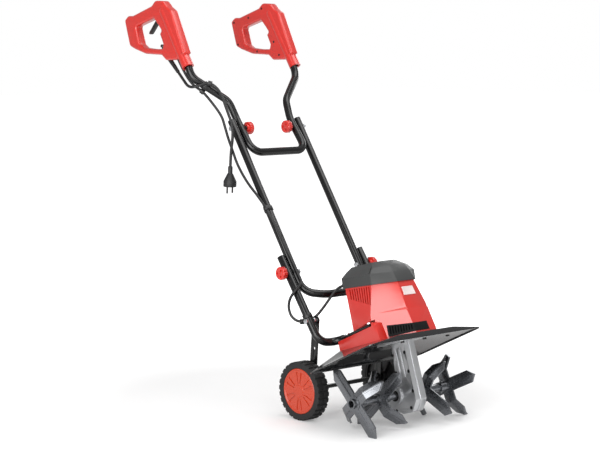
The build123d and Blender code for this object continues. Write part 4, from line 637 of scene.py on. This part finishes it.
# the loop grip's outline and opening: back, up and corner radius
GRIP_CORNERS = (
    (711, 1106, 14), (731, 1117, 12), (750, 1134, 14), (785, 1136, 16), (802, 1121, 14), (893, 1094, 12),
    (915, 1094, 12), (931, 1082, 9), (926, 1065, 30), (907, 1007, 14), (884, 998, 25), (832, 984, 40),
    (757, 981, 12), (736, 966, 8), (690, 967, 8), (672, 975, 6), (650, 985, 5),
)
OPENING_CORNERS = (
    (792, 1086, 5), (877, 1063, 8), (859, 1012, 12), (842, 1002, 12), (800, 998, 30), (751, 998, 8),
    (748, 1012, 6), (764, 1041, 5), (756, 1050, 5), (771, 1066, 8),
)
SCREW_SPOTS = ((746, 1101), (729, 1069), (730, 1020), (706, 981), (847, 1093), (915, 1079), (896, 1012),
               (806, 991), (786, 1120))
GRIP_X, GRIP_THICK, GRIP_EDGE = 203.0, 29.0, 6.5      # middle of a grip, its thickness and rounding
BARREL = ((649.5, 946.5), (753.0, 1105.0), 17.0)      # foot and top of the tube's housing, radius
HOUSING_GROOVE = (2.6, 1.2, 400)       # the cutter: twice the groove's depth, its width and its length
GROOVE_TURNS = (-42, 42)               # degrees round from the housing's front
RECESS_R, RECESS_DEEP, RECESS_CUTTER = 3.4, 2, 10
TUBE_BORE_R = 11.1
SIDEWAYS = Matrix(((0, 0, 1, 0), (1, 0, 0, 0), (0, 1, 0, 0), (0, 0, 0, 1)))    # drawn back and up


def combine(obj, other, how):
    """Join a solid to another, or cut it out, and drop the other."""
    add_modifier(obj, "BOOLEAN", object=other, operation=how, solver="EXACT")
    bpy.data.objects.remove(other)


class TILLER_OT_grips(bpy.types.Operator):
    """Model the two loop grips with their rounded tube housings and screw recesses"""
    bl_idname = "tiller.grips"
    bl_label = "Grips"

    def execute(self, context):
        for way, side in SIDES:
            outline = bpy.data.curves.new(f"loop_grip_{side}", "CURVE")
            outline.dimensions, outline.fill_mode = "2D", "BOTH"
            outline.bevel_depth, outline.bevel_resolution = GRIP_EDGE * MM, 4
            outline.extrude, outline.offset = (GRIP_THICK / 2 - GRIP_EDGE) * MM, -GRIP_EDGE * MM
            for corners in (GRIP_CORNERS, OPENING_CORNERS):
                points = rounded_corners(corners)
                spline = outline.splines.new("POLY")
                spline.points.add(len(points) - 1)
                for point, (back, up) in zip(spline.points, points):
                    point.co = (back * MM, up * MM, 0, 1)
                spline.use_cyclic_u = True
            grip = bpy.data.objects.new(f"loop_grip_{side}", outline)
            context.scene.collection.objects.link(grip)
            grip.matrix_world = Matrix.Translation(spot(way * GRIP_X, 0, 0)) @ SIDEWAYS
            pick(grip)
            bpy.ops.object.convert(target="MESH")
            grip = context.object
            apply_place(grip)
            edit(grip)
            bpy.ops.mesh.select_all(action="SELECT")
            bpy.ops.mesh.remove_doubles(threshold=0.00001)
            bpy.ops.mesh.normals_make_consistent(inside=False)

            foot, top = (spot(way * GRIP_X, *BARREL[i]) for i in (0, 1))
            along = (top - foot).normalized()
            turn = along.to_track_quat("Z", "Y").to_euler()
            clear_selection()
            bpy.ops.mesh.primitive_cylinder_add(vertices=64, radius=BARREL[2] * MM,
                                                depth=(top - foot).length, location=(foot + top) / 2,
                                                rotation=turn)
            barrel = context.object
            clear_selection()
            bpy.ops.mesh.primitive_uv_sphere_add(segments=64, ring_count=32, radius=BARREL[2] * MM,
                                                 location=top, rotation=turn)
            combine(barrel, context.object, "UNION")
            for tilt in GROOVE_TURNS:
                clear_selection()
                front = Matrix.Rotation(radians(tilt), 3, along) @ Vector((1, 0, 0)).cross(along)
                front = -front if front.y > 0 else front
                frame_of_cut = Matrix((front, along.cross(front), along)).transposed()
                bpy.ops.mesh.primitive_cube_add(size=MM, location=(foot + top) / 2 + front * BARREL[2] * MM,
                                                rotation=frame_of_cut.to_euler())
                context.object.scale = HOUSING_GROOVE
                combine(barrel, context.object, "DIFFERENCE")

            cutters, cutter_x = [], GRIP_X - GRIP_THICK / 2 + RECESS_DEEP - RECESS_CUTTER / 2
            for back, up in SCREW_SPOTS:
                clear_selection()
                bpy.ops.mesh.primitive_cylinder_add(vertices=24, radius=RECESS_R * MM,
                                                    depth=RECESS_CUTTER * MM,
                                                    location=spot(way * cutter_x, back, up),
                                                    rotation=(0, pi / 2, 0))
                cutters.append(context.object)
            pick(*cutters)
            bpy.ops.object.join()
            combine(grip, context.object, "DIFFERENCE")
            for solid in (grip, barrel):
                clear_selection()
                bpy.ops.mesh.primitive_cylinder_add(vertices=48, radius=TUBE_BORE_R * MM, depth=60 * MM,
                                                    location=foot, rotation=turn)
                combine(solid, context.object, "DIFFERENCE")
            pick(grip, barrel)
            bpy.ops.object.join()
            bpy.ops.object.shade_smooth_by_angle(angle=radians(32))
            dress(grip, "red", "upper_handlebar")
            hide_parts(f"{side}_grip_outer", f"{side}_grip_inner")
        return {"FINISHED"}


def hood_facet(way, share, up):
    """A point on the hood's front side facet, by its share from the crease to the front corner."""
    crease = Vector((92, -42)).lerp(Vector((95, -38)), (217 - up) / 66)
    corner = Vector((39, -125)).lerp(Vector((38, -141)), (217 - up) / 66)
    across, back = crease.lerp(corner, share)
    return unit_spot(way * across, back, up)


def facet_out(way):
    """A millimetre straight out of the hood's front side facet."""
    return Vector((way * 0.86, -0.46, 0.2)).normalized() * MM


class TILLER_OT_hood(bpy.types.Operator):
    """Refine the hood and cut the wedge-shaped crease into its front side facets"""
    bl_idname = "tiller.hood"
    bl_label = "Hood"

    def execute(self, context):
        hood = refined_node("motor_hood", "red")
        for way in (-1, 1):
            out = facet_out(way)
            clear_selection()
            bpy.ops.mesh.primitive_cube_add(size=MM)
            wedge = context.object
            edit(wedge)
            # the cutter runs from a tip near the crease to past the front corner, deepest at its low edge
            tip = hood_facet(way, 0.16, 219)
            high, low = hood_facet(way, 1.04, 229), hood_facet(way, 1.04, 212)
            outside = [corner + out * 4 for corner in (tip, high, low)]
            places = iter((tip + out * 0.1, high + out * 0.3, low - out * 2.4, *outside,
                           outside[2], outside[0]))
            lay_vertices(wedge, lambda co: next(places))
            bpy.ops.mesh.convex_hull()
            bpy.ops.mesh.select_all(action="SELECT")
            bpy.ops.mesh.remove_doubles(threshold=0.000005)
            bpy.ops.mesh.normals_make_consistent(inside=False)
            combine(hood, wedge, "DIFFERENCE")
        soften(hood, 0.8, 20, 24)
        # painted shade: a matt black sheet behind each side's intake slots stands for the dark inside of the
        # hood
        for way, side in SIDES:
            clear_selection()
            bpy.ops.mesh.primitive_plane_add(size=1)
            shade_sheet = context.object
            shade_sheet.name = f"slot_shade_sheet_{side}"
            edit(shade_sheet)
            out = facet_out(way)
            lay_vertices(shade_sheet, lambda co: out * 0.15 + hood_facet(
                way, 0.4 + 0.58 * (co.x + 0.5), 154 + (21 - 8 * co.x) * (co.y + 0.5)))
            grow(out * 0.35)
            done_editing(shade_sheet)
            dress(shade_sheet, "foam", "motor_unit")
        return {"FINISHED"}


SOCKET_R, SOCKET_DEEP = 9.3, 22        # across the corners halved, and how far in


class TILLER_OT_shaft_sockets(bpy.types.Operator):
    """Refine the tine shaft and sink a hexagonal socket into each of its ends"""
    bl_idname = "tiller.shaft_sockets"
    bl_label = "Shaft Sockets"

    def execute(self, context):
        shaft = refined_node("tine_shaft", "tine")
        for way in (-1, 1):
            clear_selection()
            bpy.ops.mesh.primitive_cylinder_add(vertices=6, radius=SOCKET_R * MM,
                                                depth=2 * SOCKET_DEEP * MM,
                                                location=spot(way * SHAFT_END, 0, SHAFT_UP),
                                                rotation=(0, pi / 2, 0))
            combine(shaft, context.object, "DIFFERENCE")
        soften(shaft, 0.4, 30, 28)
        return {"FINISHED"}


DECK_HOLE = (57, 136, 164)             # middle of a long hole in the deck's rear wall: across, back and up
WALL_SLOPE = 0.217                     # how far that wall comes forward for each millimetre up
HOLE_SHADE_R, HOLE_SHADE_REACH = 10.9, 36.5  # radius of a hole shade's round ends, and how far out they are centred
# name, place and direction of the two small plugs on the deck
DECK_PLUGS = (("wing", spot(168.4, -7.9, 221.5), (-0.197, -0.372, -0.907)),
              ("wall", spot(15.6, 130.1, 188.2), (0, -0.977, -0.213)))


class TILLER_OT_deck_hole_shades(bpy.types.Operator):
    """Model the dark sheets of painted shade that close the deck's long rear holes, and its two small plugs
    """
    bl_idname = "tiller.deck_shutters"
    bl_label = "Deck Hole Shades"

    def execute(self, context):
        # painted shade: a dark sheet fills each long hole, standing for the shade inside it
        for way, side in SIDES:
            clear_selection()
            bpy.ops.mesh.primitive_circle_add(vertices=48, radius=HOLE_SHADE_R * MM, fill_type="NGON",
                                              rotation=(pi / 2, 0, 0))
            hole_shade = context.object
            hole_shade.name = f"deck_hole_shade_{side}"
            apply_place(hole_shade)
            edit(hole_shade)
            across, back, up = DECK_HOLE
            # the circle is drawn out to the hole's length and laid on the leaning rear wall
            lay_vertices(hole_shade, lambda co: spot(
                way * across + co.x / MM + (HOLE_SHADE_REACH if co.x > 0 else -HOLE_SHADE_REACH),
                back - co.z / MM * WALL_SLOPE, up + co.z / MM))
            grow(Vector((0, -0.8 * MM, 0)))
            bpy.ops.mesh.inset(thickness=2.5 * MM, depth=0)
            bpy.ops.transform.translate(value=(0, 0.5 * MM, 0))
            done_editing(hole_shade)
            dress(hole_shade, "rubber", "motor_unit")
        for name, place, normal in DECK_PLUGS:
            clear_selection()
            turn = Vector(normal).to_track_quat("Z", "Y").to_euler()
            bpy.ops.mesh.primitive_cylinder_add(vertices=40, radius=5.5 * MM, depth=3 * MM,
                                                location=place, rotation=turn)
            plug = context.object
            plug.name = f"deck_plug_{name}"
            apply_place(plug)
            soften(plug, 0.9, 30, 35, segments=3)
            dress(plug, "rubber", "motor_unit")
        return {"FINISHED"}


class TILLER_OT_finishes(bpy.types.Operator):
    """Soften the edges of the outer pieces and give every piece its finish"""
    bl_idname = "tiller.finishes"
    bl_label = "Finishes"

    def execute(self, context):
        for name, node in frame["nodes"].items():
            if name in EDGES:
                refined_node(name, finish_of_node(name), EDGES[name])
            elif name not in STOOD_FOR:
                node.data.materials.clear()
                node.data.materials.append(FINISHES[finish_of_node(name)])
        return {"FINISHED"}


class TILLER_PT_panel(bpy.types.Panel):
    """Lists the tiller's operators"""
    bl_idname = "TILLER_PT_panel"
    bl_label = "Garden Tiller"
    bl_space_type = "VIEW_3D"
    bl_region_type = "UI"
    bl_category = "Tiller"

    def draw(self, context):
        for operator in OPERATORS:
            self.layout.operator(operator.bl_idname)


OPERATORS = (TILLER_OT_stage, TILLER_OT_cords, TILLER_OT_hub_caps, TILLER_OT_name_plate,
             TILLER_OT_grips, TILLER_OT_hood, TILLER_OT_shaft_sockets,
             TILLER_OT_deck_hole_shades, TILLER_OT_finishes)
CLASSES = (TillerLooks, *OPERATORS, TILLER_PT_panel)


def register():
    for cls in CLASSES:
        bpy.utils.register_class(cls)
    bpy.types.Scene.tiller_looks = bpy.props.PointerProperty(type=TillerLooks)


def unregister():
    del bpy.types.Scene.tiller_looks
    for cls in reversed(CLASSES):
        bpy.utils.unregister_class(cls)


def main():
    """Register the add-on and make every piece in order."""
    register()
    make_finishes(bpy.context.scene.tiller_looks)
    for make in (bpy.ops.tiller.stage, bpy.ops.tiller.cords, bpy.ops.tiller.hub_caps,
                 bpy.ops.tiller.name_plate, bpy.ops.tiller.grips, bpy.ops.tiller.hood,
                 bpy.ops.tiller.shaft_sockets, bpy.ops.tiller.deck_shutters, bpy.ops.tiller.finishes):
        make()
    clear_selection()


if __name__ == "__main__":
    main()
